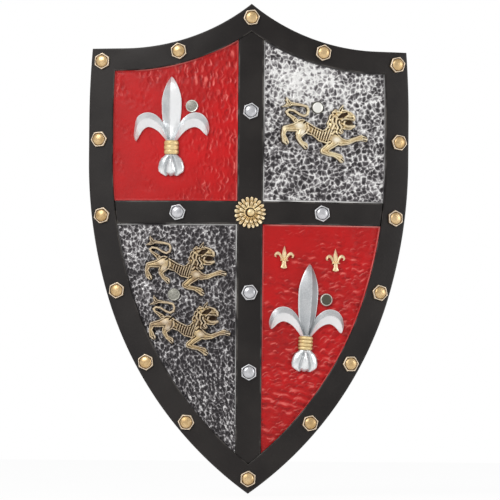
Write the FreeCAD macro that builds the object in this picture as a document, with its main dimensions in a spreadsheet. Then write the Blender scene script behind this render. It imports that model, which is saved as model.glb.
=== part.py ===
import FreeCAD, Part
import math
import os

import Sketcher

# A quartered heater shield, seen from its front: +X to the viewer's right, +Z up, the front
# faces -Y. The origin is the middle of the space behind the board that the hand takes up, on
# the line of the upper strap. Lengths are millimetres, turns are degrees.

document = FreeCAD.newDocument("heater_shield")
sizes = document.addObject("Spreadsheet::Sheet", "sizes")

SIZE_TABLE = [
    ("half_width", 200.1, "middle of the shield to its widest point"),
    ("shoulder_height", 72.1, "flat shoulders above the hand line"),
    ("hollow_radius", 250, "top hollows"),
    ("bow_radius", 1080, "slight bow of the sides below the corners"),
    ("bow_drop", 87, "shoulders to the end of the bow"),
    ("flank_drop", 66.5, "hand line to where the sides start to draw in"),
    ("flank_radius", 590.9, "upper curve of each flank"),
    ("flank_turn", 17, "turn of the upper flank curve"),
    ("toe_radius", 461.9, "lower curve of each flank, down to the point"),
    ("bend_radius", 600, "front face of the board round an upright axis"),
    ("trim_margin", 20, "how far untrimmed sheets reach past the outline"),
    ("board_thickness", 8, "bent plywood board"),
    ("board_setback", 0.8, "border overhang past the board's edge"),
    ("hand_room", 55, "board's back to the inside of the hand grip"),
    ("seat_gap", 0.3, "glue or paint film between stacked pieces"),
    ("joint_gap", 0.3, "joint between neighbouring pieces on the board"),
    ("border_thickness", 5.5, "raised border"),
    ("border_width", 29.5, "border along the sides"),
    ("top_border_width", 27.5, "border along the top"),
    ("border_bevel", 1.2, "bevelled front edges of the border"),
    ("bar_thickness", 4, "bars of the cross"),
    ("bar_bevel", 0.8, "bevelled front edges of the bars"),
    ("upright_width", 31.5, "upright bar"),
    ("crossbar_height", 28.5, "level bars"),
    ("crossbar_drop", 132.2, "hand line to the middle of the level bars"),
    ("panel_thickness", 1.6, "sheet of the four quarters"),
    ("stud_corner_radius", 10.4, "middle of a stud to a corner of its hexagon"),
    ("stud_rim_height", 3, "hexagonal rim of a stud"),
    ("stud_bevel", 0.8, "bevel round the hexagon"),
    ("stud_dome_radius", 7.3, "dome of a stud"),
    ("stud_dome_height", 5.2, "top of the dome above the seat"),
    ("stud_dome_slope", 2, "slope round the top of a dome"),
    ("stud_inset", 12.5, "outline to the middle of the border studs"),
    ("corner_stud_inset", 13, "outline to the corner studs, sideways"),
    ("corner_stud_drop", 15.8, "shoulder to the corner studs"),
    ("nail_side", 3, "square nail of a stud"),
    ("nail_length", 11, "nail of a stud below its head"),
    ("punch_gap", 0.2, "punched hole round a nail, pin or rivet"),
    ("pin_side", 2.8, "square cast pins behind the ornaments"),
    ("pin_length", 6.5, "cast pins below the panel's face"),
    ("pin_root", 1, "cast pins inside the ornament"),
    ("rosette_radius", 19.5, "rosette over the crossing"),
    ("rosette_petal_half", 5, "half width of a lower petal"),
    ("rosette_petal_rise", 2.2, "lower petals above the seat"),
    ("rosette_crown_radius", 13.8, "upper ring of petals"),
    ("rosette_crown_half", 3.7, "half width of an upper petal"),
    ("rosette_crown_rise", 3.8, "upper petals above the seat"),
    ("rosette_root_half", 2, "half width of each petal at its root"),
    ("rosette_root_reach", 4, "middle to the petals' roots"),
    ("rosette_boss_radius", 4.6, "boss in the rosette"),
    ("rosette_boss_height", 6.4, "top of the boss above the seat"),
    ("rosette_boss_slope", 1.6, "slope round the boss"),
    ("fit_depth", 3, "spare metal behind a casting before its back is fitted to the bend"),
    ("upper_petal_height", 79.4, "upper left lily, collar to tip"),
    ("lower_petal_height", 89.3, "lower right lily, collar to tip"),
    ("petal_width", 24.5, "middle petal at its widest"),
    ("petal_reach", 47.6, "middle to the outside of a side petal"),
    ("petal_ridge", 7.5, "ridge of the petals above the seat"),
    ("petal_edge", 2, "edge of the petals above the seat"),
    ("neck_radius", 6.6, "stem under the collar"),
    ("collar_height", 17.8, "gilt collar"),
    ("collar_radius", 9.3, "gilt collar over its ribs"),
    ("collar_groove", 1.1, "grooves between the collar's ribs"),
    ("foot_height", 27, "bud below the collar"),
    ("foot_width", 32.5, "bud at its widest"),
    ("foot_ridge", 8, "middle of the bud above the seat"),
    ("foot_bevel", 2.2, "bevels of the bud"),
    ("small_lily_height", 29, "small gilt lilies"),
    ("small_lily_rise", 2.6, "thickness of the small lilies"),
    ("small_lily_bevel", 0.5, "bevel of the small lilies"),
    ("upper_lion_length", 111.5, "upper right lion, tail to paw"),
    ("lion_border_gap", 1, "hind paw of the lowest lion to the border"),
    ("lion_rise", 3.2, "legs and tail of the lions above the seat"),
    ("lion_body_rise", 6.2, "body and head of the lions above the seat"),
    ("lion_body_bevel", 1.2, "bevel of the lions' bodies"),
    ("strap_lap", 13.3, "middle of a strap's rivet to the strap's end and to its bend"),
    ("forearm_rivet_offset", 2.4, "forearm rivets above and below the strap's middle"),
    ("strap_thickness", 3.5, "harness leather"),
    ("strap_bend_radius", 14, "bend where a strap leaves the board, at its middle"),
    ("strap_end_cut", 7, "cut corners of the strap ends"),
    ("grip_width", 30, "hand grip from top to bottom"),
    ("forearm_width", 40, "forearm strap from top to bottom"),
    ("forearm_room", 82, "board's back to the inside of the forearm strap"),
    ("rivet_head_radius", 7.8, "strap rivets in front"),
    ("rivet_head_height", 2.6, "strap rivets above the panel"),
    ("rivet_side", 4.4, "square shank of a strap rivet"),
    ("rivet_slope", 1.6, "slope round the top of a rivet's head"),
    ("rivet_tail_radius", 4.2, "hammered end of a strap rivet"),
    ("rivet_tail_height", 1.8, "hammered end of a strap rivet"),
    ("washer_radius", 7.5, "washers under the hammered ends"),
    ("washer_thickness", 1.2, "washers under the hammered ends"),
]

for row, (alias, number, note) in enumerate(SIZE_TABLE, start=1):
    sizes.set(f"A{row}", alias)
    sizes.set(f"B{row}", str(number))
    sizes.set(f"C{row}", note)
    sizes.setAlias(f"B{row}", alias)
document.recompute()

# Reach of the top hollows, as a share of the half width.
HOLLOW_REACH_SHARE = 0.787

# Heights of the border studs, as shares of the drop from the shoulders to the point, and the
# turn of each stud's hexagon. Left and right studs stand at the same heights.
FLANK_STUD_DROP_SHARES = (0.205, 0.377, 0.546, 0.707, 0.841)
TOP_STUD_REACH_SHARE = 0.573
BORDER_STUD_TURNS = (8, 20, 40, 12, 28, 50, 5, 33, 17, 44, 24, 2, 36, 14, 55, 26)
UPRIGHT_STUD_DROP_SHARES = (0.141, 0.549, 0.728)
CROSSBAR_STUD_REACH_SHARE = 0.45
CROSS_STUD_TURNS = (22, 6, 31, 14, 38)

# Middle of each ornament: reach as a share of the half width, drop as a share of the fall from
# the shoulders to the point, and lean to the right.
UPPER_FLEUR_SHARES = (-0.490, 0.208)
LOWER_FLEUR_SHARES = (0.355, 0.6455)
LOWER_FLEUR_LEAN = 2.8
SMALL_LILY_SHARES = ((0.215, 0.469), (0.538, 0.474))
SMALL_LILY_LEANS = (2, -1)
UPPER_LION_SHARES = (0.4585, 0.1723)
MIDDLE_LION_REACH_SHARE = -0.394
LOWER_LION_DROP_SHARES = (0.4821, 0.6160)

# Length of the two lower lions, as a share of the room between the upright bar and the border
# at the lowest lion's hind paw, and at most a share of the fall to the point. The paw's own drop
# is a share of that fall, and its reach a share of the lion's length.
LION_ROOM_SHARE = 0.948
LION_FALL_SHARE = 0.187
LION_PAW_DROP_SHARE = 0.65
LION_PAW_REACH_SHARE = 0.482

# Rivets of the straps: left and right reach as shares of the half width, and the drop of the
# forearm strap as a share of the fall from the shoulders to the point.
GRIP_RIVET_SHARES = (0.3653, 0.4173)
FOREARM_RIVET_SHARES = (0.4668, 0.4818)
FOREARM_DROP_SHARE = 0.559

# A lion walking to the right with its near forepaw raised: points of the outline, clockwise
# from the tail's tuft, as shares of its length from the middle of its box.
LION_OUTLINE_SHARES = (
    (-0.433, 0.310), (-0.400, 0.253), (-0.195, 0.215), (-0.174, 0.165), (-0.222, 0.095),
    (-0.120, -0.002), (0.000, -0.036), (0.040, 0.005), (0.098, 0.170), (0.196, 0.234),
    (0.340, 0.132), (0.350, 0.084), (0.326, 0.056), (0.262, 0.060), (0.236, 0.034),
    (0.258, 0.000), (0.375, 0.000), (0.350, -0.030), (0.212, -0.042), (0.200, -0.090),
    (0.222, -0.142), (0.275, -0.150), (0.436, -0.084), (0.480, -0.104), (0.492, -0.140),
    (0.464, -0.172), (0.230, -0.236), (0.160, -0.222), (0.062, -0.276), (0.215, -0.304),
    (0.238, -0.350), (0.222, -0.402), (0.188, -0.412), (0.138, -0.360), (-0.012, -0.322),
    (-0.044, -0.288), (-0.030, -0.240), (0.018, -0.208), (-0.192, -0.092), (-0.250, -0.144),
    (-0.176, -0.188), (-0.222, -0.262), (-0.266, -0.228), (-0.350, -0.070), (-0.430, -0.084),
    (-0.440, -0.132), (-0.392, -0.162), (-0.408, -0.208), (-0.440, -0.218), (-0.500, -0.106),
    (-0.484, -0.036), (-0.352, 0.068), (-0.444, 0.140), (-0.446, 0.176), (-0.414, 0.194),
    (-0.480, 0.200),
)
LION_UPPER_TAIL_HOLE_SHARES = (
    (-0.330, 0.190), (-0.262, 0.205), (-0.210, 0.190), (-0.210, 0.150), (-0.262, 0.138),
)
LION_LOWER_TAIL_HOLE_SHARES = (
    (-0.412, 0.164), (-0.352, 0.160), (-0.290, 0.124), (-0.340, 0.102), (-0.386, 0.126),
)
LION_BODY_SHARES = (
    (-0.352, 0.040), (-0.240, 0.060), (-0.070, -0.050), (0.010, -0.052), (0.060, 0.010),
    (0.120, 0.165), (0.190, 0.175), (0.310, 0.135), (0.328, 0.088), (0.250, 0.078),
    (0.214, 0.040), (0.220, -0.010), (0.180, -0.050), (0.172, -0.110), (0.190, -0.170),
    (0.140, -0.205), (0.060, -0.200), (-0.040, -0.170), (-0.230, -0.070), (-0.340, -0.055),
    (-0.430, -0.055), (-0.452, -0.020), (-0.385, 0.000),
)
LION_PIN_SHARES = ((-0.250, -0.005), (0.120, -0.100))

# Half outline of a small lily, from its tip down to its foot, as shares of its height above
# its middle.
SMALL_LILY_OUTLINE_SHARES = (
    (0.000, 0.500), (0.055, 0.300), (0.080, 0.120), (0.170, 0.215), (0.300, 0.225),
    (0.400, 0.150), (0.430, 0.050), (0.340, -0.010), (0.330, 0.075), (0.240, 0.095),
    (0.150, -0.010), (0.150, -0.120), (0.100, -0.180), (0.110, -0.330), (0.130, -0.430),
    (0.060, -0.500), (0.000, -0.480),
)

# Right half of a rosette petal's tip: reach sideways and back from the tip, as shares of its
# half width.
PETAL_TIP_SHARES = ((0.42, 0.0), (0.86, 0.34), (1.0, 0.85))

# Half outline of a large lily's middle petal, from its tip down, as shares of its width and its
# height above the collar, and where its ridge starts to fall towards the tip.
MIDDLE_PETAL_SHARES = (
    (0.02, 1.0), (0.14, 0.91), (0.27, 0.80), (0.41, 0.64),
    (0.5, 0.46), (0.5, 0.32), (0.44, 0.14), (0.27, 0.0),
)
TIP_FALL_SHARE = 0.55

# Outline of the right petal from the collar round its outside to its tip and back, as shares of
# the petals' reach, and the circle that its ridge follows: middle, radius and half width.
SIDE_PETAL_SHARES = (
    (0.03, 0.01), (0.21, 0.45), (0.35, 0.61), (0.48, 0.69), (0.64, 0.72),
    (0.81, 0.68), (0.92, 0.55), (0.98, 0.36), (0.98, 0.24), (0.93, 0.14),
    (0.85, 0.2), (0.75, 0.3), (0.64, 0.36), (0.5, 0.34), (0.35, 0.24),
    (0.14, 0.01),
)
ARCH_MIDDLE_SHARES = (0.56, 0.085)
ARCH_RADIUS_SHARE = 0.452
ARCH_HALF_SHARE = 0.30

# Ribs along a collar and flats round it, and a rib's length as a share of the ribs' spacing.
COLLAR_RIBS = 3
COLLAR_FLATS = 6
COLLAR_RIB_SHARE = 0.6

# Half outline of the bud and of its middle lobe, as shares of its width and of its height.
BUD_SHARES = (
    (0.20, 0.0), (0.36, -0.16), (0.46, -0.36), (0.50, -0.62),
    (0.46, -0.86), (0.36, -0.98), (0.24, -0.93), (0.12, -1.0),
)
BUD_LOBE_SHARES = ((0.12, -0.02), (0.22, -0.30), (0.27, -0.62), (0.22, -0.88), (0.10, -0.99))

# Where the expressions below come from the sheet, by the names of the places they give.
HOLLOW_REACH = f"({HOLLOW_REACH_SHARE} * sizes.half_width)"
AXIS_Y = "(sizes.bend_radius - sizes.board_thickness - sizes.hand_room / 2)"
BOW_Z = "(sizes.shoulder_height - sizes.bow_drop)"
FLANK_Z = "(-sizes.flank_drop)"
FLANK_CENTRE_X = "(sizes.half_width - sizes.flank_radius)"
TOE_CENTRE_X = f"({FLANK_CENTRE_X} + (sizes.flank_radius - sizes.toe_radius) * cos(sizes.flank_turn))"
TOE_CENTRE_Z = f"({FLANK_Z} - (sizes.flank_radius - sizes.toe_radius) * sin(sizes.flank_turn))"
PLATE_SEAT = "(sizes.bend_radius + sizes.seat_gap)"
BORDER_FACE = f"({PLATE_SEAT} + sizes.border_thickness)"
BAR_FACE = f"({PLATE_SEAT} + sizes.bar_thickness)"
PANEL_FACE = f"({PLATE_SEAT} + sizes.panel_thickness)"
BOARD_BACK = "(sizes.bend_radius - sizes.board_thickness)"
CROSSBAR_TOP = "(-sizes.crossbar_drop + sizes.crossbar_height / 2)"
CROSSBAR_BOTTOM = "(-sizes.crossbar_drop - sizes.crossbar_height / 2)"
UPRIGHT_EDGE = "(sizes.upright_width / 2)"

parts = []


def value(text):
    """Number that an expression on the sheet gives, in millimetres or degrees."""
    result = sizes.evalExpression(str(text))
    return float(getattr(result, "Value", result))


def mirrored(text):
    return f"(-({text}))"


def top_z(across, inset):
    """Height of a top hollow, moved in by inset, at a distance from the middle."""
    drop = f"sqrt((sizes.hollow_radius + {inset})^2 - ({HOLLOW_REACH} - {across})^2)"
    return f"(sizes.shoulder_height + sizes.hollow_radius - {drop})"


def toe_z(across, inset):
    """Height of the lowest curve, moved in by inset, at a distance from the middle."""
    return f"({TOE_CENTRE_Z} - sqrt((sizes.toe_radius - {inset})^2 - ({across} - {TOE_CENTRE_X})^2))"


def side_x(height, inset):
    """Half width of the outline, moved in by inset, at a height."""
    level = value(height)
    junction = value(f"{FLANK_Z} - (sizes.flank_radius - {inset}) * sin(sizes.flank_turn)")
    if level > value(BOW_Z):
        reach = f"sqrt((sizes.bow_radius - {inset})^2 - ({height} - {BOW_Z})^2)"
        return f"(sizes.half_width - sizes.bow_radius + {reach})"
    if level > value(FLANK_Z):
        return f"(sizes.half_width - {inset})"
    if level > junction:
        reach = f"sqrt((sizes.flank_radius - {inset})^2 - ({height} - {FLANK_Z})^2)"
        return f"({FLANK_CENTRE_X} + {reach})"
    reach = f"sqrt((sizes.toe_radius - {inset})^2 - ({height} - {TOE_CENTRE_Z})^2)"
    return f"({TOE_CENTRE_X} + {reach})"


def shoulder_z(top_inset):
    return f"(sizes.shoulder_height - {top_inset})"


def flank_end(inset):
    """Point where the upper and lower flank curves meet."""
    turn = f"(sizes.flank_radius - {inset})"
    across = f"({FLANK_CENTRE_X} + {turn} * cos(sizes.flank_turn))"
    return across, f"({FLANK_Z} - {turn} * sin(sizes.flank_turn))"


def shoulder_run(inset, top_inset):
    """Corners and curves from the end of the right-hand hollow down to the flank curve."""
    level = shoulder_z(top_inset)
    corners = [(HOLLOW_REACH, level), (side_x(level, inset), level)]
    corners += [(f"(sizes.half_width - {inset})", BOW_Z), (f"(sizes.half_width - {inset})", FLANK_Z)]
    return corners, {1: (f"(sizes.bow_radius - {inset})", -1)}


def shield_loop(inset, top_inset):
    """The whole outline moved in, clockwise from the peak."""
    shoulder, _ = shoulder_run(inset, top_inset)
    right = shoulder + [flank_end(inset)]
    left = [(mirrored(across), up) for across, up in reversed(right)]
    corners = [("0", top_z("0", top_inset))] + right + [("0", toe_z("0", inset))] + left
    hollow = (f"(sizes.hollow_radius + {top_inset})", 1)
    bow = (f"(sizes.bow_radius - {inset})", -1)
    flank = (f"(sizes.flank_radius - {inset})", -1)
    toe = (f"(sizes.toe_radius - {inset})", -1)
    bends = {0: hollow, 2: bow, 4: flank, 5: toe, 6: toe, 7: flank, 9: bow, 11: hollow}
    return corners, bends


def mirrored_loop(corners, bends):
    """The same loop on the other side of the middle, still clockwise."""
    count = len(corners)
    turned = [(mirrored(across), up) for across, up in reversed(corners)]
    return turned, {(count - 2 - index) % count: bend for index, bend in bends.items()}


def upper_panel_loop():
    """Window above the crossbar on the right, between the border and the bars."""
    inset = "(sizes.border_width + sizes.joint_gap)"
    top_inset = "(sizes.top_border_width + sizes.joint_gap)"
    inner = f"({UPRIGHT_EDGE} + sizes.joint_gap)"
    bottom = f"({CROSSBAR_TOP} + sizes.joint_gap)"
    shoulder, curves = shoulder_run(inset, top_inset)
    corners = [(inner, top_z(inner, top_inset))] + shoulder
    corners += [(side_x(bottom, inset), bottom), (inner, bottom)]
    bends = {index + 1: bend for index, bend in curves.items()}
    bends[0] = (f"(sizes.hollow_radius + {top_inset})", 1)
    bends[4] = (f"(sizes.flank_radius - {inset})", -1)
    return corners, bends


def lower_panel_loop():
    """Window below the crossbar on the right, between the border and the bars."""
    inset = "(sizes.border_width + sizes.joint_gap)"
    inner = f"({UPRIGHT_EDGE} + sizes.joint_gap)"
    top = f"({CROSSBAR_BOTTOM} - sizes.joint_gap)"
    corners = [(inner, top), (side_x(top, inset), top), flank_end(inset), (inner, toe_z(inner, inset))]
    bends = {1: (f"(sizes.flank_radius - {inset})", -1), 2: (f"(sizes.toe_radius - {inset})", -1)}
    return corners, bends


def upright_loop():
    """Bar from the border's inner peak down to its inner point."""
    inset = "(sizes.border_width + sizes.joint_gap)"
    top_inset = "(sizes.top_border_width + sizes.joint_gap)"
    right = [(UPRIGHT_EDGE, top_z(UPRIGHT_EDGE, top_inset)), (UPRIGHT_EDGE, toe_z(UPRIGHT_EDGE, inset))]
    left = [(mirrored(across), up) for across, up in reversed(right)]
    corners = [("0", top_z("0", top_inset))] + right + [("0", toe_z("0", inset))] + left
    hollow = (f"(sizes.hollow_radius + {top_inset})", 1)
    toe = (f"(sizes.toe_radius - {inset})", -1)
    return corners, {0: hollow, 2: toe, 3: toe, 5: hollow}


def crossbar_loop():
    """Level bar from the upright bar out to the border, on the right."""
    inset = "(sizes.border_width + sizes.joint_gap)"
    inner = f"({UPRIGHT_EDGE} + sizes.joint_gap)"
    corners = [(inner, CROSSBAR_TOP), (side_x(CROSSBAR_TOP, inset), CROSSBAR_TOP)]
    corners += [(side_x(CROSSBAR_BOTTOM, inset), CROSSBAR_BOTTOM), (inner, CROSSBAR_BOTTOM)]
    return corners, {1: (f"(sizes.flank_radius - {inset})", -1)}


def arc_between(start, end, radius, side):
    """Shorter arc between two points, its centre left (1) or right (-1) of the way along."""
    chord = end - start
    middle = (start + end) / 2
    rise = math.sqrt(max(radius ** 2 - (chord.Length / 2) ** 2, 0))
    normal = FreeCAD.Vector(-chord.y, chord.x, 0)
    normal.normalize()
    centre = middle + normal * (rise * side)
    begin, finish = (start, end) if side > 0 else (end, start)
    first = math.atan2(begin.y - centre.y, begin.x - centre.x)
    last = math.atan2(finish.y - centre.y, finish.x - centre.x)
    circle = Part.Circle(centre, FreeCAD.Vector(0, 0, 1), radius)
    return Part.ArcOfCircle(circle, first, last if last > first else last + 2 * math.pi)


def bind(sketch, bound):
    """Add constraints, each with the expression that its number comes from."""
    indices = sketch.addConstraint([constraint for constraint, _ in bound])
    for index, (_, text) in zip(indices, bound):
        sketch.setExpression(f"Constraints[{index}]", text)


def draw_loop(sketch, corners, bends=None):
    """Closed outline through corners, straight but for the arcs that bends lists by corner."""
    bends = bends or {}
    points = [FreeCAD.Vector(value(across), value(up), 0) for across, up in corners]
    first = sketch.GeometryCount
    ends = []
    for index, start in enumerate(points):
        end = points[(index + 1) % len(points)]
        if index in bends:
            radius, side = bends[index]
            sketch.addGeometry(arc_between(start, end, value(radius), side))
            ends.append((1, 2) if side > 0 else (2, 1))
        else:
            sketch.addGeometry(Part.LineSegment(start, end))
            ends.append((1, 2))
    joins = []
    bound = []
    for index, (across, up) in enumerate(corners):
        following = (index + 1) % len(corners)
        here = first + index
        join = (here, ends[index][1], first + following, ends[following][0])
        joins.append(Sketcher.Constraint("Coincident", *join))
        corner = (-1, 1, here, ends[index][0])
        bound.append((Sketcher.Constraint("DistanceX", *corner, points[index].x), across))
        bound.append((Sketcher.Constraint("DistanceY", *corner, points[index].y), up))
        if index in bends:
            radius = bends[index][0]
            bound.append((Sketcher.Constraint("Radius", here, value(radius)), radius))
    sketch.addConstraint(joins)
    bind(sketch, bound)


def new_sketch(body, name, role, offset=None):
    """Sketch on one of the body's own planes. offset is an expression for its placement there."""
    sketch = body.newObject("Sketcher::SketchObject", name)
    plane = next(feature for feature in body.Origin.OriginFeatures if feature.Role == role)
    sketch.AttachmentSupport = [(plane, "")]
    sketch.MapMode = "FlatFace"
    if offset:
        sketch.setExpression("AttachmentOffset", offset)
    return sketch


def pad(body, name, sketch, length, inward=False):
    """Thickness in front of a sketch on the XZ plane, or behind it where inward is set."""
    feature = body.newObject("PartDesign::Pad", name)
    feature.Profile = sketch
    feature.setExpression("Length", length)
    feature.Reversed = inward
    return feature


def turned(body, name, sketch, axis="V_Axis", sweep="360"):
    feature = body.newObject("PartDesign::Revolution", name)
    feature.Profile = sketch
    feature.ReferenceAxis = (sketch, [axis])
    feature.setExpression("Angle", sweep)
    feature.Midplane = True
    return feature


def front_edges(shape, radius):
    """Names of the edges that lie on the upright cylinder of this radius, its seams left out."""
    names = []
    axis_y = value(AXIS_Y)
    for number, edge in enumerate(shape.Edges, start=1):
        marks = [edge.valueAt(edge.FirstParameter + share * (edge.LastParameter - edge.FirstParameter))
                 for share in (0, 0.5, 1)]
        if all(abs(math.hypot(mark.x, mark.y - axis_y) - radius) < 1e-4 for mark in marks):
            names.append(f"Edge{number}")
    return names


def dress(body, kind, name, edges, size_property, text):
    """Fillet or chamfer on the body's last solid."""
    solid = body.Tip
    feature = body.newObject(kind, name)
    feature.Base = (solid, edges)
    feature.setExpression(size_property, text)
    return feature


def curved_plate(name, inner_radius, thickness, outside, inside=None, bevel=None):
    """Sheet bent round the upright axis, trimmed to a loop drawn from the front."""
    body = document.addObject("PartDesign::Body", name)
    front = f"({AXIS_Y} - {inner_radius} - {thickness})"
    back = f"({AXIS_Y} - {inner_radius})"
    low = f"({toe_z('0', '0')} - sizes.trim_margin)"
    high = f"({top_z('0', '0')} + sizes.trim_margin)"
    section = new_sketch(body, f"{name}_section", "YZ_Plane")
    draw_loop(section, [(front, low), (back, low), (back, high), (front, high)])
    base = FreeCAD.Vector(value(AXIS_Y), 0, 0)
    above_base = base + FreeCAD.Vector(0, value("sizes.trim_margin"), 0)
    axis = section.addGeometry(Part.LineSegment(base, above_base), True)
    bind(section, [(Sketcher.Constraint("DistanceX", -1, 1, axis, 1, value(AXIS_Y)), AXIS_Y)])
    section.addConstraint(Sketcher.Constraint("Vertical", axis))
    widest = f"asin((sizes.half_width + sizes.trim_margin) / ({inner_radius}))"
    turned(body, f"{name}_sheet", section, "Axis0", f"2 * {widest}")
    document.recompute()
    full = body.Shape.Volume

    trim = new_sketch(body, f"{name}_trim", "XZ_Plane")
    far = "(sizes.bend_radius)"
    above = f"({high} + sizes.trim_margin)"
    below = f"({low} - sizes.trim_margin)"
    draw_loop(trim, [(mirrored(far), below), (far, below), (far, above), (mirrored(far), above)])
    draw_loop(trim, *outside)
    cut_through(body, f"{name}_outline", trim)
    if inside:
        window = new_sketch(body, f"{name}_window", "XZ_Plane")
        draw_loop(window, *inside)
        cut_through(body, f"{name}_opening", window)
    document.recompute()
    if not 0 < body.Shape.Volume < full:
        raise RuntimeError(f"{name} was not trimmed")
    if bevel:
        face_radius = value(f"{inner_radius} + {thickness}")
        edges = front_edges(body.Shape, face_radius)
        dress(body, "PartDesign::Chamfer", f"{name}_bevels", edges, "Size", bevel)
        document.recompute()
    return body


def cut_through(body, name, sketch):
    feature = body.newObject("PartDesign::Pocket", name)
    feature.Profile = sketch
    feature.Type = "ThroughAll"
    feature.Midplane = True
    return feature


def seat(across, up, radius, turn="0", aside="0", raised="0"):
    """Placement on the shell at this radius: the piece's own -Y looks straight out.

    turn spins it clockwise as seen from the front, aside and raised then move it in its own plane.
    """
    depth = f"{AXIS_Y} - sqrt(({radius})^2 - ({across})^2)"
    facing = f"rotation(vector(0; 0; 1); asin(({across}) / ({radius})))"
    place = f"placement(vector({across}; {depth}; {up}); {facing})"
    spin = f"placement(vector(0; 0; 0); rotation(vector(0; 1; 0); {turn}))"
    shift = f"placement(vector({aside}; 0; {raised}); rotation(vector(0; 0; 1); 0))"
    return f"{place} * {spin} * {shift}"


def copies(name, source, placements):
    """Separate solids of one body at several placements, kept together in one node."""
    links = []
    for number, placement in enumerate(placements, start=1):
        link = document.addObject("App::Link", f"{name}_{number}")
        link.LinkedObject = source
        link.setExpression("Placement", placement)
        links.append(link)
    group = document.addObject("Part::Compound", name)
    group.Links = links
    return group


def boolean(kind, name, base, tool):
    feature = document.addObject(kind, name)
    feature.Base = base
    feature.Tool = tool
    return feature


def finished(feature, node):
    """Put a piece on the list of nodes."""
    feature.Label = node
    parts.append(feature)
    return feature


def square_loop(side):
    half = f"({side} / 2)"
    low = mirrored(half)
    return [(low, half), (half, half), (half, low), (low, low)]


def shank(body, name, side, length):
    """Square shank that runs from the seat into the shield."""
    section = new_sketch(body, f"{name}_section", "XZ_Plane")
    draw_loop(section, square_loop(side))
    return pad(body, name, section, length, inward=True)


def punch(name, side, length):
    """Square cutter that starts at a seat and points into the shield."""
    body = document.addObject("PartDesign::Body", name)
    shank(body, f"{name}_shank", f"({side} + 2 * sizes.punch_gap)", f"({length})")
    return body


def drop_z(share):
    """Height at a share of the fall from the shoulders to the point."""
    return f"(sizes.shoulder_height - {share} * (sizes.shoulder_height - {toe_z('0', '0')}))"


def border_stud_places():
    """Distances across and heights of the sixteen border studs."""
    places = [("0", f"(({top_z('0', '0')} + {top_z('0', 'sizes.top_border_width')}) / 2)")]
    top_reach = f"({TOP_STUD_REACH_SHARE} * {HOLLOW_REACH})"
    corner_level = "(sizes.shoulder_height - sizes.corner_stud_drop)"
    pairs = [(top_reach, top_z(top_reach, "sizes.stud_inset")),
             (side_x(corner_level, "sizes.corner_stud_inset"), corner_level)]
    pairs += [(side_x(drop_z(share), "sizes.stud_inset"), drop_z(share))
              for share in FLANK_STUD_DROP_SHARES]
    for across, up in pairs:
        places += [(across, up), (mirrored(across), up)]
    places.append(("0", f"(({toe_z('0', '0')} + {toe_z('0', 'sizes.border_width')}) / 2)"))
    return places


def cross_stud_places():
    """Three studs down the upright bar and one on each level bar."""
    places = [("0", drop_z(share)) for share in UPRIGHT_STUD_DROP_SHARES]
    reach = f"({CROSSBAR_STUD_REACH_SHARE} * sizes.half_width)"
    return places + [(mirrored(reach), "(-sizes.crossbar_drop)"), (reach, "(-sizes.crossbar_drop)")]


def many_sided_loop(sides, radius):
    turns = [360 * corner / sides for corner in range(sides)]
    return [(f"({radius} * cos({turn}))", f"({radius} * sin({turn}))") for turn in turns]


def front_rim(shape, height):
    """Names of the edges that lie in the flat front at this height above the seat."""
    front = -value(height)
    return [f"Edge{number}" for number, edge in enumerate(shape.Edges, start=1)
            if all(abs(vertex.Y - front) < 1e-6 for vertex in edge.Vertexes)]


def stud_body():
    """Bevelled hexagon and a dome of eight facets, on a square nail."""
    body = document.addObject("PartDesign::Body", "stud")
    hexagon = new_sketch(body, "stud_hexagon", "XZ_Plane")
    draw_loop(hexagon, many_sided_loop(6, "sizes.stud_corner_radius"))
    pad(body, "stud_rim", hexagon, "sizes.stud_rim_height")
    document.recompute()
    rim = front_rim(body.Shape, "sizes.stud_rim_height")
    dress(body, "PartDesign::Chamfer", "stud_rim_bevel", rim, "Size", "sizes.stud_bevel")
    round_part = new_sketch(body, "stud_dome_outline", "XZ_Plane")
    draw_loop(round_part, many_sided_loop(8, "sizes.stud_dome_radius"))
    pad(body, "stud_dome", round_part, "sizes.stud_dome_height")
    document.recompute()
    rim = front_rim(body.Shape, "sizes.stud_dome_height")
    dress(body, "PartDesign::Chamfer", "stud_dome_slope", rim, "Size", "sizes.stud_dome_slope")
    shank(body, "stud_nail", "sizes.nail_side", "sizes.nail_length")
    return body


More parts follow.
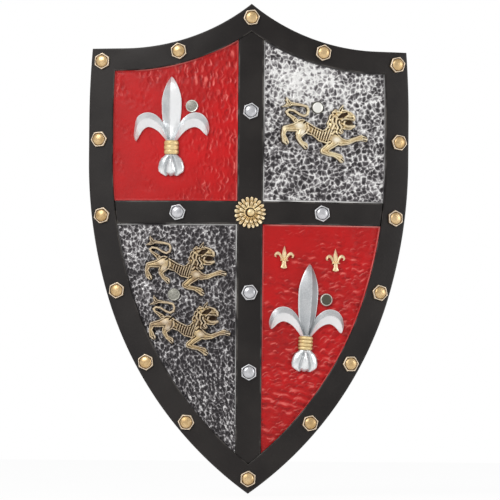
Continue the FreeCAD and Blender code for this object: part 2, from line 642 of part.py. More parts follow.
def rosette_body():
    """Two rings of eight petals round a boss, on a square nail."""
    body = document.addObject("PartDesign::Body", "rosette_casting")
    rings = (
        ("lower", "sizes.rosette_radius", "sizes.rosette_petal_half", "sizes.rosette_petal_rise", 0),
        ("upper", "sizes.rosette_crown_radius", "sizes.rosette_crown_half", "sizes.rosette_crown_rise", 22.5),
    )
    for ring, reach, half, rise, turn in rings:
        turning = f"placement(vector(0; 0; 0); rotation(vector(0; 0; 1); {turn}))"
        petal = new_sketch(body, f"rosette_{ring}_petal", "XZ_Plane", turning)
        right = [(f"({half} * {wide})", f"({reach} - {half} * {back})")
                 for wide, back in PETAL_TIP_SHARES]
        right.append(("sizes.rosette_root_half", "sizes.rosette_root_reach"))
        left = [(mirrored(across), up) for across, up in reversed(right)]
        draw_loop(petal, left + right)
        one = pad(body, f"rosette_{ring}_petal_pad", petal, rise)
        ring_of_petals = body.newObject("PartDesign::PolarPattern", f"rosette_{ring}_ring")
        ring_of_petals.Originals = [one]
        ring_of_petals.Axis = (petal, ["N_Axis"])
        ring_of_petals.Angle = 360
        ring_of_petals.Occurrences = 8
        body.Tip = ring_of_petals
    boss = new_sketch(body, "rosette_boss_outline", "XZ_Plane")
    draw_loop(boss, many_sided_loop(12, "sizes.rosette_boss_radius"))
    pad(body, "rosette_boss", boss, "sizes.rosette_boss_height")
    document.recompute()
    rim = front_rim(body.Shape, "sizes.rosette_boss_height")
    dress(body, "PartDesign::Chamfer", "rosette_boss_slope", rim, "Size", "sizes.rosette_boss_slope")
    shank(body, "rosette_nail", "sizes.nail_side", "sizes.nail_length")
    return body


def half_loop(shares, across_unit, up_unit, drop="0"):
    """Loop from its right half, closed by the same points on the left."""
    right = [(f"({across} * {across_unit})", f"({up} * {up_unit} - {drop})") for across, up in shares]
    return right + [(mirrored(across), up) for across, up in reversed(right)]


def outlined(name, loop, rise):
    """Body padded from a loop, with spare metal behind the seat."""
    body = document.addObject("PartDesign::Body", name)
    behind = "placement(vector(0; 0; -sizes.fit_depth); rotation(vector(0; 0; 1); 0))"
    sketch = new_sketch(body, f"{name}_outline", "XZ_Plane", behind)
    draw_loop(sketch, loop)
    pad(body, f"{name}_plate", sketch, f"({rise} + sizes.fit_depth)")
    document.recompute()
    return body


def middle_petal_body(name, petal_height):
    """Petal with two flat slopes that meet in a ridge, which falls towards the tip."""
    loop = half_loop(MIDDLE_PETAL_SHARES, "sizes.petal_width", petal_height)
    body = outlined(name, loop, "sizes.petal_ridge")
    full = body.Shape.Volume
    edge, ridge, above = "(-sizes.petal_edge)", "(-sizes.petal_ridge)", "(-2 * sizes.petal_ridge)"
    side = "(sizes.petal_width / 2)"
    slopes = new_sketch(body, f"{name}_slopes", "XY_Plane")
    draw_loop(slopes, [(mirrored(side), edge), ("0", ridge), (side, edge), (side, above),
                       (mirrored(side), above)])
    cut_through(body, f"{name}_slope_cut", slopes)
    fall = new_sketch(body, f"{name}_fall", "YZ_Plane")
    falls_from = f"({TIP_FALL_SHARE} * {petal_height})"
    draw_loop(fall, [(ridge, falls_from), (edge, petal_height), (above, petal_height), (above, falls_from)])
    cut_through(body, f"{name}_fall_cut", fall)
    document.recompute()
    if not 0 < body.Shape.Volume < full:
        raise RuntimeError(f"{name} kept its full thickness")
    return body


def side_petal_body(name):
    """Curved petal whose two slopes turn round the middle of its arch."""
    unit = "sizes.petal_reach"
    body = outlined(name, shares_loop(SIDE_PETAL_SHARES, unit), "sizes.petal_ridge")
    full = body.Shape.Volume
    across, up = [f"({share} * {unit})" for share in ARCH_MIDDLE_SHARES]
    ridge_at = f"({across} + {ARCH_RADIUS_SHARE} * {unit})"
    half = f"({ARCH_HALF_SHARE} * {unit})"
    above = "(-2 * sizes.petal_ridge)"
    level = f"placement(vector(0; 0; {up}); rotation(vector(0; 0; 1); 0))"
    slopes = new_sketch(body, f"{name}_slopes", "XY_Plane", level)
    near, far = f"({ridge_at} - {half})", f"({ridge_at} + {half})"
    draw_loop(slopes, [(near, "(-sizes.petal_edge)"), (ridge_at, "(-sizes.petal_ridge)"),
                       (far, "(-sizes.petal_edge)"), (far, above), (near, above)])
    base = FreeCAD.Vector(value(across), 0, 0)
    above_base = base + FreeCAD.Vector(0, value("sizes.petal_ridge"), 0)
    axis = slopes.addGeometry(Part.LineSegment(base, above_base), True)
    bind(slopes, [(Sketcher.Constraint("DistanceX", -1, 1, axis, 1, value(across)), across)])
    slopes.addConstraint(Sketcher.Constraint("Vertical", axis))
    groove = body.newObject("PartDesign::Groove", f"{name}_slope_cut")
    groove.Profile = slopes
    groove.ReferenceAxis = (slopes, ["Axis0"])
    groove.Angle = 360
    document.recompute()
    if not 0 < body.Shape.Volume < full:
        raise RuntimeError(f"{name} kept its full thickness")
    return body


def bevelled_body(name, loop, rise, bevel):
    """Flat casting with a bevel all round its front."""
    body = outlined(name, loop, rise)
    dress(body, "PartDesign::Chamfer", f"{name}_bevels", front_rim(body.Shape, rise), "Size", bevel)
    return body


def fleur_body(name, petal_height):
    """Lily of three ridged petals over a stem and a three-lobed bud, in one casting."""
    stem = document.addObject("PartDesign::Body", f"{name}_stem")
    section = new_sketch(stem, f"{name}_stem_section", "XY_Plane")
    side = "sizes.neck_radius"
    corners = [(mirrored(side), "sizes.fit_depth"), (side, "sizes.fit_depth"), (side, "0"),
               ("0", mirrored(side)), (mirrored(side), "0")]
    draw_loop(section, corners, {2: (side, -1), 3: (side, -1)})
    pad(stem, f"{name}_stem_pad", section, "sizes.collar_height", inward=True)
    petal = side_petal_body(f"{name}_right_petal")
    twin = document.addObject("Part::Mirroring", f"{name}_left_petal")
    twin.Source = petal
    twin.Normal = FreeCAD.Vector(1, 0, 0)
    bud = half_loop(BUD_SHARES, "sizes.foot_width", "sizes.foot_height", "sizes.collar_height")
    lobe = half_loop(BUD_LOBE_SHARES, "sizes.foot_width", "sizes.foot_height", "sizes.collar_height")
    casting = document.addObject("Part::MultiFuse", name)
    outer_rise = "(sizes.foot_ridge - sizes.foot_bevel)"
    casting.Shapes = [stem, middle_petal_body(f"{name}_middle_petal", petal_height), petal, twin,
                      bevelled_body(f"{name}_bud", bud, outer_rise, "sizes.foot_bevel"),
                      bevelled_body(f"{name}_lobe", lobe, "sizes.foot_ridge", "sizes.foot_bevel")]
    return casting


def half_ring_loop(inner, outer):
    """Half ring of flats in front of a stem, seen from above."""
    turns = [180 + 180 * corner / COLLAR_FLATS for corner in range(COLLAR_FLATS + 1)]
    outside = [(f"({outer} * cos({turn}))", f"({outer} * sin({turn}))") for turn in turns]
    inside = [(f"({inner} * cos({turn}))", f"({inner} * sin({turn}))") for turn in reversed(turns)]
    return outside + inside


def collar_body(name):
    """Half ring of flats with ribs, which clasps the stem."""
    body = document.addObject("PartDesign::Body", name)
    inner = f"((sizes.neck_radius + sizes.joint_gap) / cos({90 / COLLAR_FLATS}))"
    rib = f"((sizes.collar_height - 2 * sizes.joint_gap) / {COLLAR_RIBS})"
    margin = f"(1 - {COLLAR_RIB_SHARE}) / 2"
    bands = [("band", "(sizes.collar_radius - sizes.collar_groove)", "0", f"({COLLAR_RIBS} * {rib})")]
    bands += [(f"rib_{number + 1}", "sizes.collar_radius", f"(({number} + {margin}) * {rib})",
               f"({COLLAR_RIB_SHARE} * {rib})") for number in range(COLLAR_RIBS)]
    for band, outer, start, length in bands:
        level = f"placement(vector(0; 0; -sizes.joint_gap - {start}); rotation(vector(0; 0; 1); 0))"
        section = new_sketch(body, f"{name}_{band}_section", "XY_Plane", level)
        draw_loop(section, half_ring_loop(inner, outer))
        pad(body, f"{name}_{band}", section, length, inward=True)
    return body


def shares_loop(shares, unit):
    return [(f"({across} * {unit})", f"({up} * {unit})") for across, up in shares]


def small_lily_body():
    """Small flat lily with a bevelled edge."""
    body = document.addObject("PartDesign::Body", "small_lily")
    outline = new_sketch(body, "small_lily_outline", "XZ_Plane")
    right = SMALL_LILY_OUTLINE_SHARES
    left = [(-across, up) for across, up in reversed(right[1:-1])]
    draw_loop(outline, shares_loop(list(right) + left, "sizes.small_lily_height"))
    pad(body, "small_lily_plate", outline, "sizes.small_lily_rise")
    document.recompute()
    rim = front_rim(body.Shape, "sizes.small_lily_rise")
    dress(body, "PartDesign::Chamfer", "small_lily_bevels", rim, "Size", "sizes.small_lily_bevel")
    return body


def lion_body(name, length):
    """Flat casting with a pierced tail, and a raised body and head."""
    body = document.addObject("PartDesign::Body", name)
    behind = "placement(vector(0; 0; -sizes.fit_depth); rotation(vector(0; 0; 1); 0))"
    outline = new_sketch(body, f"{name}_outline", "XZ_Plane", behind)
    draw_loop(outline, shares_loop(LION_OUTLINE_SHARES, length))
    draw_loop(outline, shares_loop(LION_UPPER_TAIL_HOLE_SHARES, length))
    draw_loop(outline, shares_loop(LION_LOWER_TAIL_HOLE_SHARES, length))
    pad(body, f"{name}_plate", outline, "(sizes.lion_rise + sizes.fit_depth)")
    raised = new_sketch(body, f"{name}_body_outline", "XZ_Plane")
    draw_loop(raised, shares_loop(LION_BODY_SHARES, length))
    pad(body, f"{name}_body", raised, "sizes.lion_body_rise")
    document.recompute()
    rim = front_rim(body.Shape, "sizes.lion_body_rise")
    dress(body, "PartDesign::Chamfer", f"{name}_body_bevels", rim, "Size", "sizes.lion_body_bevel")
    return body


def pin_body():
    """Square pin cast on the back of an ornament, from a little inside it."""
    body = document.addObject("PartDesign::Body", "pin")
    root = "placement(vector(0; 0; sizes.pin_root); rotation(vector(0; 0; 1); 0))"
    section = new_sketch(body, "pin_section", "XZ_Plane", root)
    draw_loop(section, square_loop("sizes.pin_side"))
    pad(body, "pin_shank", section, "(sizes.pin_length + sizes.pin_root)", inward=True)
    return body


def upright_cylinder(name, radius):
    """Tool that fits the back of a casting to the bend."""
    feature = document.addObject("Part::Cylinder", name)
    low = f"({toe_z('0', '0')} - sizes.trim_margin)"
    feature.setExpression("Radius", radius)
    feature.setExpression("Height", f"({top_z('0', '0')} + sizes.trim_margin - {low})")
    place = f"placement(vector(0; {AXIS_Y}; {low}); rotation(vector(0; 0; 1); 0))"
    feature.setExpression("Placement", place)
    return feature


def strap_loop(tab_start, tab_end, room):
    """Strap seen from above: a curved tab on each side of the board, two bends and an arch."""
    middle = f"({BOARD_BACK} - sizes.seat_gap - sizes.strap_thickness / 2)"
    bend = "sizes.strap_bend_radius"
    half = "(sizes.strap_thickness / 2)"
    start_turn = f"asin({tab_start} / {middle})"
    end_turn = f"asin({tab_end} / {middle})"
    bend_x = f"(({middle} - {bend}) * sin({start_turn}))"
    bend_y = f"({AXIS_Y} - ({middle} - {bend}) * cos({start_turn}))"
    top = f"({AXIS_Y} - {BOARD_BACK} + {room} + {half})"
    rise = f"({top} - {bend_y})"
    arch = f"(({bend_x}^2 + {rise}^2 - {bend}^2) / (2 * ({rise} + {bend})))"
    arch_y = f"({top} - {arch})"
    share = f"({bend} / ({bend} + {arch}))"

    def side(offset):
        """Corners on the right from the tab's end to the arch, off the strap's middle line."""
        tab = f"({middle} + {offset})"
        meet_x = f"({bend_x} * (1 - {share}) - {offset} * {bend_x} / ({bend} + {arch}))"
        meet_y = f"({bend_y} + ({arch_y} - {bend_y}) * ({share} + {offset} / ({bend} + {arch})))"
        return [(f"({tab} * sin({end_turn}))", f"({AXIS_Y} - {tab} * cos({end_turn}))"),
                (f"({tab} * sin({start_turn}))", f"({AXIS_Y} - {tab} * cos({start_turn}))"),
                (meet_x, meet_y)]

    def other_side(run):
        return [(mirrored(across), up) for across, up in run]

    outer = side(mirrored(half))
    inner = side(half)
    corners = outer + other_side(outer[::-1]) + other_side(inner) + inner[::-1]
    tab_outer = f"({middle} - {half})"
    tab_inner = f"({middle} + {half})"
    bend_outer = f"({bend} - {half})"
    bend_inner = f"({bend} + {half})"
    arch_outer = f"({arch} + {half})"
    arch_inner = f"({arch} - {half})"
    bends = {
        0: (tab_outer, -1), 1: (bend_outer, -1), 2: (arch_outer, 1), 3: (bend_outer, -1),
        4: (tab_outer, -1), 6: (tab_inner, 1), 7: (bend_inner, 1), 8: (arch_inner, -1),
        9: (bend_inner, 1), 10: (tab_inner, 1),
    }
    return corners, bends


def strap_body(name, tab_start, tab_end, room, width, level):
    """Leather strap with cut corners."""
    body = document.addObject("PartDesign::Body", name)
    outline = new_sketch(body, f"{name}_path", "XY_Plane")
    draw_loop(outline, *strap_loop(tab_start, tab_end, room))
    strip = pad(body, f"{name}_strip", outline, width)
    strip.Midplane = True
    document.recompute()
    reach = value(f"{tab_end} - sizes.strap_thickness")
    corners = [f"Edge{number}" for number, edge in enumerate(body.Shape.Edges, start=1)
               if len(edge.Vertexes) == 2 and edge.Length < value("2 * sizes.strap_thickness")
               and min(abs(vertex.X) for vertex in edge.Vertexes) > reach
               and abs(edge.Vertexes[0].Z - edge.Vertexes[1].Z) < 1e-6]
    dress(body, "PartDesign::Chamfer", f"{name}_ends", corners, "Size", "sizes.strap_end_cut")
    body.setExpression("Placement", f"placement(vector(0; 0; {level}); rotation(vector(0; 0; 1); 0))")
    return body


def rivet_stack():
    """Depths under a rivet's head, from the panel's face to behind the washer."""
    sheets = "sizes.panel_thickness + sizes.board_thickness + sizes.strap_thickness"
    to_leather = f"(4 * sizes.seat_gap + {sheets})"
    washer_end = f"({to_leather} + sizes.washer_thickness)"
    return to_leather, washer_end


def rivet_body():
    """Sloped head, square shank, and an end hammered over the washer."""
    body = document.addObject("PartDesign::Body", "rivet")
    head = new_sketch(body, "rivet_head_outline", "XZ_Plane")
    draw_loop(head, many_sided_loop(12, "sizes.rivet_head_radius"))
    pad(body, "rivet_head", head, "sizes.rivet_head_height")
    document.recompute()
    rim = front_rim(body.Shape, "sizes.rivet_head_height")
    dress(body, "PartDesign::Chamfer", "rivet_head_slope", rim, "Size", "sizes.rivet_slope")
    _, washer_end = rivet_stack()
    end = f"({washer_end} + sizes.seat_gap)"
    shank(body, "rivet_shank", "sizes.rivet_side", end)
    tail_place = f"placement(vector(0; 0; -{end}); rotation(vector(0; 0; 1); 0))"
    tail = new_sketch(body, "rivet_tail_outline", "XZ_Plane", tail_place)
    draw_loop(tail, many_sided_loop(8, "sizes.rivet_tail_radius"))
    pad(body, "rivet_tail", tail, "sizes.rivet_tail_height", inward=True)
    return body


def washer_body():
    """Washer of twelve sides with a square hole."""
    body = document.addObject("PartDesign::Body", "washer")
    start, _ = rivet_stack()
    place = f"placement(vector(0; 0; -{start}); rotation(vector(0; 0; 1); 0))"
    outline = new_sketch(body, "washer_outline", "XZ_Plane", place)
    draw_loop(outline, many_sided_loop(12, "sizes.washer_radius"))
    draw_loop(outline, square_loop("(sizes.rivet_side + 2 * sizes.punch_gap)"))
    pad(body, "washer_plate", outline, "sizes.washer_thickness", inward=True)
    return body


def ornament(node, blank, place, face, pin_places=()):
    """Casting at its place, its back fitted to the face that carries it, its pins added."""
    blank.setExpression("Placement", place)
    fitted = boolean("Part::Cut", f"{node}_fitted", blank, face)
    if not pin_places:
        return finished(fitted, node)
    pins = copies(f"{node}_pins", pin, pin_places)
    return finished(boolean("Part::Fuse", f"{node}_pinned", fitted, pins), node)


def instance(name, source):
    """Another casting from the same mould, free to stand elsewhere."""
    link = document.addObject("App::Link", name)
    link.LinkedObject = source
    return link


# Seats of everything that is nailed, pinned or riveted, so that its holes follow it.
stud_seats = [seat(across, up, f"({BORDER_FACE} + sizes.seat_gap)", turn)
              for (across, up), turn in zip(border_stud_places(), BORDER_STUD_TURNS)]
cross_seats = [seat(across, up, f"({BAR_FACE} + sizes.seat_gap)", turn)
               for (across, up), turn in zip(cross_stud_places(), CROSS_STUD_TURNS)]
rosette_seat = seat("0", "(-sizes.crossbar_drop)", f"({BAR_FACE} + sizes.seat_gap)")
panel_seat = f"({PANEL_FACE} + sizes.seat_gap)"


def panel_place(shares, lean="0", aside="0", raised="0"):
    """Seat on a panel, given as shares of the half width and of the fall to the point."""
    across, drop = shares
    return seat(f"({across} * sizes.half_width)", drop_z(drop), panel_seat, lean, aside, raised)


def pin_seats(shares, lean, spots):
    return [panel_place(shares, lean, aside, raised) for aside, raised in spots]


def lion_spots(length):
    return [(f"({across} * {length})", f"({up} * {length})") for across, up in LION_PIN_SHARES]


fleur_spots = [("0", "(sizes.upper_petal_height / 3)"),
               ("0", "(-sizes.collar_height - sizes.foot_height / 2)")]
upper_fleur_pins = pin_seats(UPPER_FLEUR_SHARES, "0", fleur_spots)
lower_fleur_pins = pin_seats(LOWER_FLEUR_SHARES, LOWER_FLEUR_LEAN, fleur_spots)
small_lily_pins = [pin_seats(shares, lean, [("0", "0")])
                   for shares, lean in zip(SMALL_LILY_SHARES, SMALL_LILY_LEANS)]
upper_lion_pins = pin_seats(UPPER_LION_SHARES, "0", lion_spots("sizes.upper_lion_length"))

# The lower lions grow and shrink with the room that the border leaves them.
border_at_paw = side_x(drop_z(LION_PAW_DROP_SHARE), "sizes.border_width")
fall = f"(sizes.shoulder_height - {toe_z('0', '0')})"
lion_room = f"({border_at_paw} - {UPRIGHT_EDGE})"
lower_lion_length = f"min({LION_ROOM_SHARE} * {lion_room}; {LION_FALL_SHARE} * {fall})"
paw_reach = f"({LION_PAW_REACH_SHARE} * {lower_lion_length})"
lower_lion_reaches = (f"({MIDDLE_LION_REACH_SHARE} * sizes.half_width)",
                      f"({paw_reach} + sizes.lion_border_gap - {border_at_paw})")
lower_lion_places = [seat(across, drop_z(share), panel_seat)
                     for across, share in zip(lower_lion_reaches, LOWER_LION_DROP_SHARES)]
lower_lion_pins = [[f"{place} * placement(vector({across}; 0; {up}); rotation(vector(0; 0; 1); 0))"
                    for across, up in lion_spots(lower_lion_length)] for place in lower_lion_places]
grip_left, grip_right = [f"({share} * sizes.half_width)" for share in GRIP_RIVET_SHARES]
forearm_left, forearm_right = [f"({share} * sizes.half_width)" for share in FOREARM_RIVET_SHARES]
forearm_level = drop_z(FOREARM_DROP_SHARE)
grip_rivet_seats = [seat(mirrored(grip_left), "0", panel_seat), seat(grip_right, "0", panel_seat)]
forearm_rivet_seats = [
    seat(mirrored(forearm_left), f"({forearm_level} + sizes.forearm_rivet_offset)", panel_seat),
    seat(forearm_right, f"({forearm_level} - sizes.forearm_rivet_offset)", panel_seat),
]
all_pins = upper_fleur_pins + lower_fleur_pins + upper_lion_pins
all_pins += small_lily_pins[0] + small_lily_pins[1] + lower_lion_pins[0] + lower_lion_pins[1]
all_rivets = grip_rivet_seats + forearm_rivet_seats

stud = stud_body()
pin = pin_body()
nail_punch = punch("nail_punch", "sizes.nail_side", "sizes.nail_length + sizes.punch_gap")
pin_punch = punch("pin_punch", "sizes.pin_side", "sizes.pin_length + sizes.punch_gap")
rivet_punch = punch("rivet_punch", "sizes.rivet_side", f"{rivet_stack()[1]} + sizes.rivet_tail_height")

# The board and everything that is glued to its front.
board_blank = curved_plate("board_sheet", BOARD_BACK, "sizes.board_thickness",
                           shield_loop("sizes.board_setback", "sizes.board_setback"))
board_holes = document.addObject("Part::Compound", "board_holes")
board_holes.Links = [copies("board_nail_holes", nail_punch, stud_seats + cross_seats + [rosette_seat]),
                     copies("board_pin_holes", pin_punch, all_pins),
                     copies("board_rivet_holes", rivet_punch, all_rivets)]
finished(boolean("Part::Cut", "board_punched", board_blank, board_holes), "shield_board")

border_blank = curved_plate("border_sheet", PLATE_SEAT, "sizes.border_thickness", shield_loop("0", "0"),
                            shield_loop("sizes.border_width", "sizes.top_border_width"), "sizes.border_bevel")
border_holes = copies("border_holes", nail_punch, stud_seats)
finished(boolean("Part::Cut", "border_punched", border_blank, border_holes), "border_frame")

upright_blank = curved_plate("upright_sheet", PLATE_SEAT, "sizes.bar_thickness", upright_loop(),
                             bevel="sizes.bar_bevel")
upright_holes = copies("upright_holes", nail_punch, cross_seats[:3] + [rosette_seat])
finished(boolean("Part::Cut", "upright_punched", upright_blank, upright_holes), "vertical_bar")

for node, loop, place in (("left_crossbar", mirrored_loop(*crossbar_loop()), cross_seats[3]),
                          ("right_crossbar", crossbar_loop(), cross_seats[4])):
    blank = curved_plate(f"{node}_sheet", PLATE_SEAT, "sizes.bar_thickness", loop, bevel="sizes.bar_bevel")
    holes = copies(f"{node}_holes", nail_punch, [place])
    finished(boolean("Part::Cut", f"{node}_punched", blank, holes), node)

panels = (
    ("panel_upper_left", mirrored_loop(*upper_panel_loop()), upper_fleur_pins, [grip_rivet_seats[0]]),
    ("panel_upper_right", upper_panel_loop(), upper_lion_pins, [grip_rivet_seats[1]]),
    ("panel_lower_left", mirrored_loop(*lower_panel_loop()), lower_lion_pins[0] + lower_lion_pins[1],
     [forearm_rivet_seats[0]]),
    ("panel_lower_right", lower_panel_loop(), lower_fleur_pins + small_lily_pins[0] + small_lily_pins[1],
     [forearm_rivet_seats[1]]),
)
for node, loop, pin_places, rivet_places in panels:
    blank = curved_plate(f"{node}_sheet", PLATE_SEAT, "sizes.panel_thickness", loop)
    holes = document.addObject("Part::Compound", f"{node}_holes")
    holes.Links = [copies(f"{node}_pin_holes", pin_punch, pin_places),
                   copies(f"{node}_rivet_holes", rivet_punch, rivet_places)]
    finished(boolean("Part::Cut", f"{node}_punched", blank, holes), node)

# Studs, rosette, lilies and lions.
finished(copies("studs_on_border", stud, stud_seats), "border_studs")
finished(copies("studs_on_cross", stud, cross_seats), "cross_studs")
rosette = rosette_body()
rosette.setExpression("Placement", rosette_seat)
finished(rosette, "rosette")

panel_fit = upright_cylinder("panel_fit", panel_seat)
ornament("fleur_upper_left", fleur_body("upper_fleur", "sizes.upper_petal_height"),
         panel_place(UPPER_FLEUR_SHARES), panel_fit, upper_fleur_pins)
ornament("fleur_lower_right", fleur_body("lower_fleur", "sizes.lower_petal_height"),
         panel_place(LOWER_FLEUR_SHARES, LOWER_FLEUR_LEAN), panel_fit, lower_fleur_pins)
collar_places = [panel_place(UPPER_FLEUR_SHARES), panel_place(LOWER_FLEUR_SHARES, LOWER_FLEUR_LEAN)]
finished(copies("collars_on_lilies", collar_body("collar"), collar_places), "lily_collars")

small_lily = small_lily_body()
for node, shares, lean, pin_places in zip(("small_fleur_left", "small_fleur_right"), SMALL_LILY_SHARES,
                                          SMALL_LILY_LEANS, small_lily_pins):
    blank = instance(f"{node}_casting", small_lily)
    ornament(node, blank, panel_place(shares, lean), panel_fit, pin_places)

ornament("lion_upper_right", lion_body("upper_lion", "sizes.upper_lion_length"),
         panel_place(UPPER_LION_SHARES), panel_fit, upper_lion_pins)
lower_lion = lion_body("lower_lion", lower_lion_length)
for node, place, pin_places in zip(("lion_lower_left_top", "lion_lower_left_bottom"), lower_lion_places,
                                   lower_lion_pins):
    ornament(node, instance(f"{node}_casting", lower_lion), place, panel_fit, pin_places)

# Straps on the back, with their rivets and washers.
straps = (
    ("hand_grip", f"({grip_left} - sizes.strap_lap)", f"({grip_right} + sizes.strap_lap)", "sizes.hand_room",
     "sizes.grip_width", "0", grip_rivet_seats),
    ("forearm_strap", f"({forearm_left} - sizes.strap_lap)", f"({forearm_right} + sizes.strap_lap)",
     "sizes.forearm_room", "sizes.forearm_width", forearm_level, forearm_rivet_seats),
)
for node, tab_start, tab_end, room, width, level, rivet_places in straps:
    blank = strap_body(f"{node}_leather", tab_start, tab_end, room, width, level)
    holes = copies(f"{node}_holes", rivet_punch, rivet_places)
    finished(boolean("Part::Cut", f"{node}_punched", blank, holes), node)
finished(copies("rivets_of_straps", rivet_body(), all_rivets), "strap_rivets")
washer = washer_body()
finished(copies("washers_on_rivets", washer, all_rivets), "rivet_washers")

document.recompute()

failed = [item.Label for item in document.Objects if "Invalid" in item.State or "Error" in item.State]
if failed:
    raise RuntimeError(f"these failed: {', '.join(failed)}")
for part in parts:
    if part.Shape.isNull() or not part.Shape.isValid() or not part.Shape.Solids:
        raise RuntimeError(f"{part.Label} has no valid solid")

os.makedirs("parts", exist_ok=True)
for part in parts:
    part.Shape.exportStep(f"parts/{part.Label}.step")
    box = part.Shape.BoundBox
    print(f"{part.Label}: {len(part.Shape.Solids)} solids, {part.Shape.Volume:.0f} mm3, "
          f"x {box.XMin:.1f} to {box.XMax:.1f}, y {box.YMin:.1f} to {box.YMax:.1f}, "
          f"z {box.ZMin:.1f} to {box.ZMax:.1f}")
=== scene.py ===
import math

import bmesh
import bpy
import numpy as np
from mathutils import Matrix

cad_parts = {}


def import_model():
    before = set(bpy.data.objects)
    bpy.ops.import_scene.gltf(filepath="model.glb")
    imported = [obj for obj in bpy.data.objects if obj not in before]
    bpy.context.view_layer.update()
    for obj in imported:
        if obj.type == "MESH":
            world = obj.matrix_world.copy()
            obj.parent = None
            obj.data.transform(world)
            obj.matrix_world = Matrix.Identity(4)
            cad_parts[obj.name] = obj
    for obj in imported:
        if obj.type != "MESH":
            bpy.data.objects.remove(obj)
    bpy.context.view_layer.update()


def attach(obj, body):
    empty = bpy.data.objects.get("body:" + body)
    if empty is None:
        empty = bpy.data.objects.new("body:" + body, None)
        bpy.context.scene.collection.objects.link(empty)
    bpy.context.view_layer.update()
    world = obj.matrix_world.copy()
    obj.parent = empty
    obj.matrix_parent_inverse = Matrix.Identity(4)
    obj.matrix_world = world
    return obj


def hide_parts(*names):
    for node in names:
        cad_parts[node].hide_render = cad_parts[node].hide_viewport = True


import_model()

# A quartered heater shield seen from its front: +X to the viewer's right, +Z up, the front faces
# -Y. Shapes are worked out in millimetres and divided by a thousand when a mesh is made.

# Radii from the bend's upright axis.
BEND_AXIS = 564.5
BOARD_BACK, BOARD_FRONT, PLATE_BACK = 592.0, 600.0, 600.3
BAR_FACE, PANEL_FACE = 604.3, 601.9
PANEL_SEAT, BORDER_SEAT, BAR_SEAT = 602.2, 606.1, 604.6

# The outline: hollow top, shoulder, slight bow, straight, flank curve and toe curve.
HALF_WIDTH, SHOULDER, HOLLOW_REACH, HOLLOW_RADIUS = 200.1, 72.1, 157.48, 250
BOW_RADIUS, BOW_LEVEL = 1080, -14.9
FLANK_RADIUS, FLANK_CENTRE, FLANK_LEVEL, FLANK_SWEEP = 590.9, -390.8, -66.5, math.radians(17)
TOE_RADIUS, TOE_CENTRE, TOE_LEVEL = 461.9, -267.4, -104.2

# The border's width, how far in the panels' windows begin, and the edges of the cross.
BORDER_SIDE, BORDER_TOP, WINDOW_SIDE, WINDOW_TOP = 29.5, 27.5, 29.8, 27.8
UPRIGHT_EDGE, CROSSBAR_TOP, CROSSBAR_BOTTOM, CROSSING = 16.05, -117.65, -146.75, -132.2

# Where the straps' rivets go through, and half the leather's thickness.
RIVET_PLACES = ((-73.1, 0.0), (83.5, 0.0), (-93.4, -234.6), (96.4, -239.4))
HALF_LEATHER = 1.75


# Node materials

class Signal:
    """An output of a node; arithmetic on it adds Math nodes to the same finish."""

    def __init__(self, finish, socket):
        self.finish = finish
        self.socket = socket

    def math(self, operation, first, second):
        return self.finish.node("ShaderNodeMath", {"operation": operation}, {0: first, 1: second})

    def __add__(self, other):
        return self.math("ADD", self, other)

    def __sub__(self, other):
        return self.math("SUBTRACT", self, other)

    def __rsub__(self, other):
        return self.math("SUBTRACT", other, self)

    def __mul__(self, other):
        return self.math("MULTIPLY", self, other)

    __radd__ = __add__


class Finish:
    """A node material or world in the making."""

    def __init__(self, owner):
        self.owner = owner
        owner.use_nodes = True
        self.nodes = owner.node_tree.nodes
        self.links = owner.node_tree.links
        self.nodes.clear()

    def node(self, kind, settings, inputs, output=0):
        """Adds a node: settings first, then the values or links of its sockets."""
        made = self.nodes.new(kind)
        for setting, choice in settings.items():
            if setting == "stops":
                while len(made.color_ramp.elements) < len(choice):
                    made.color_ramp.elements.new(1.0)
                for element, (position, tint) in zip(made.color_ramp.elements, choice):
                    element.position = position
                    element.color = (*tint, 1.0)
            else:
                setattr(made, setting, choice)
        for name, given in inputs.items():
            socket = made.inputs[name]
            if isinstance(given, Signal):
                self.links.new(given.socket, socket)
            elif socket.type == "RGBA":
                socket.default_value = (*given, 1.0)
            else:
                socket.default_value = given
        return Signal(self, made.outputs[output]) if made.outputs else None

    def place(self, stretch=(1, 1, 1)):
        """Object coordinates, stretched for a pattern."""
        where = self.node("ShaderNodeTexCoord", {}, {}, "Object")
        return self.node("ShaderNodeMapping", {}, {"Vector": where, "Scale": stretch})

    def noise(self, scale, detail=3.0, where=None, rough=0.55):
        return self.node("ShaderNodeTexNoise", {}, {"Vector": where or self.place(), "Scale": scale,
                                                    "Detail": detail, "Roughness": rough})

    def trait(self, name):
        """Value that the mesh carries at its points."""
        return self.node("ShaderNodeAttribute", {"attribute_name": name}, {}, "Fac")

    def rise(self, value, low, high):
        """0 below low, 1 above high, smooth between."""
        return self.node("ShaderNodeMapRange", {"interpolation_type": "SMOOTHSTEP"},
                         {"Value": value, "From Min": low, "From Max": high})

    def tint(self, share, first, second):
        """Colour between two colours."""
        return self.node("ShaderNodeMix", {"data_type": "RGBA"}, {0: share, 6: first, 7: second}, 2)

    def ramp(self, value, stops):
        return self.node("ShaderNodeValToRGB", {"stops": stops}, {"Fac": value})

    def relief(self, height, distance, strength):
        return self.node("ShaderNodeBump", {},
                         {"Height": height, "Distance": distance, "Strength": strength})

    def done(self, **sockets):
        """Joins a Principled shader to the output."""
        named = {name.replace("_", " "): given for name, given in sockets.items()}
        shader = self.node("ShaderNodeBsdfPrincipled", {}, named)
        self.node("ShaderNodeOutputMaterial", {}, {"Surface": shader})
        return self.owner


def colour(*screen):
    """Colour written as it looks on a screen, as the shader's linear values."""
    return tuple(((part / 255 + 0.055) / 1.055) ** 2.4 if part > 10 else part / 3294.6
                 for part in screen)


def new_finish(name):
    return Finish(bpy.data.materials.new(name))


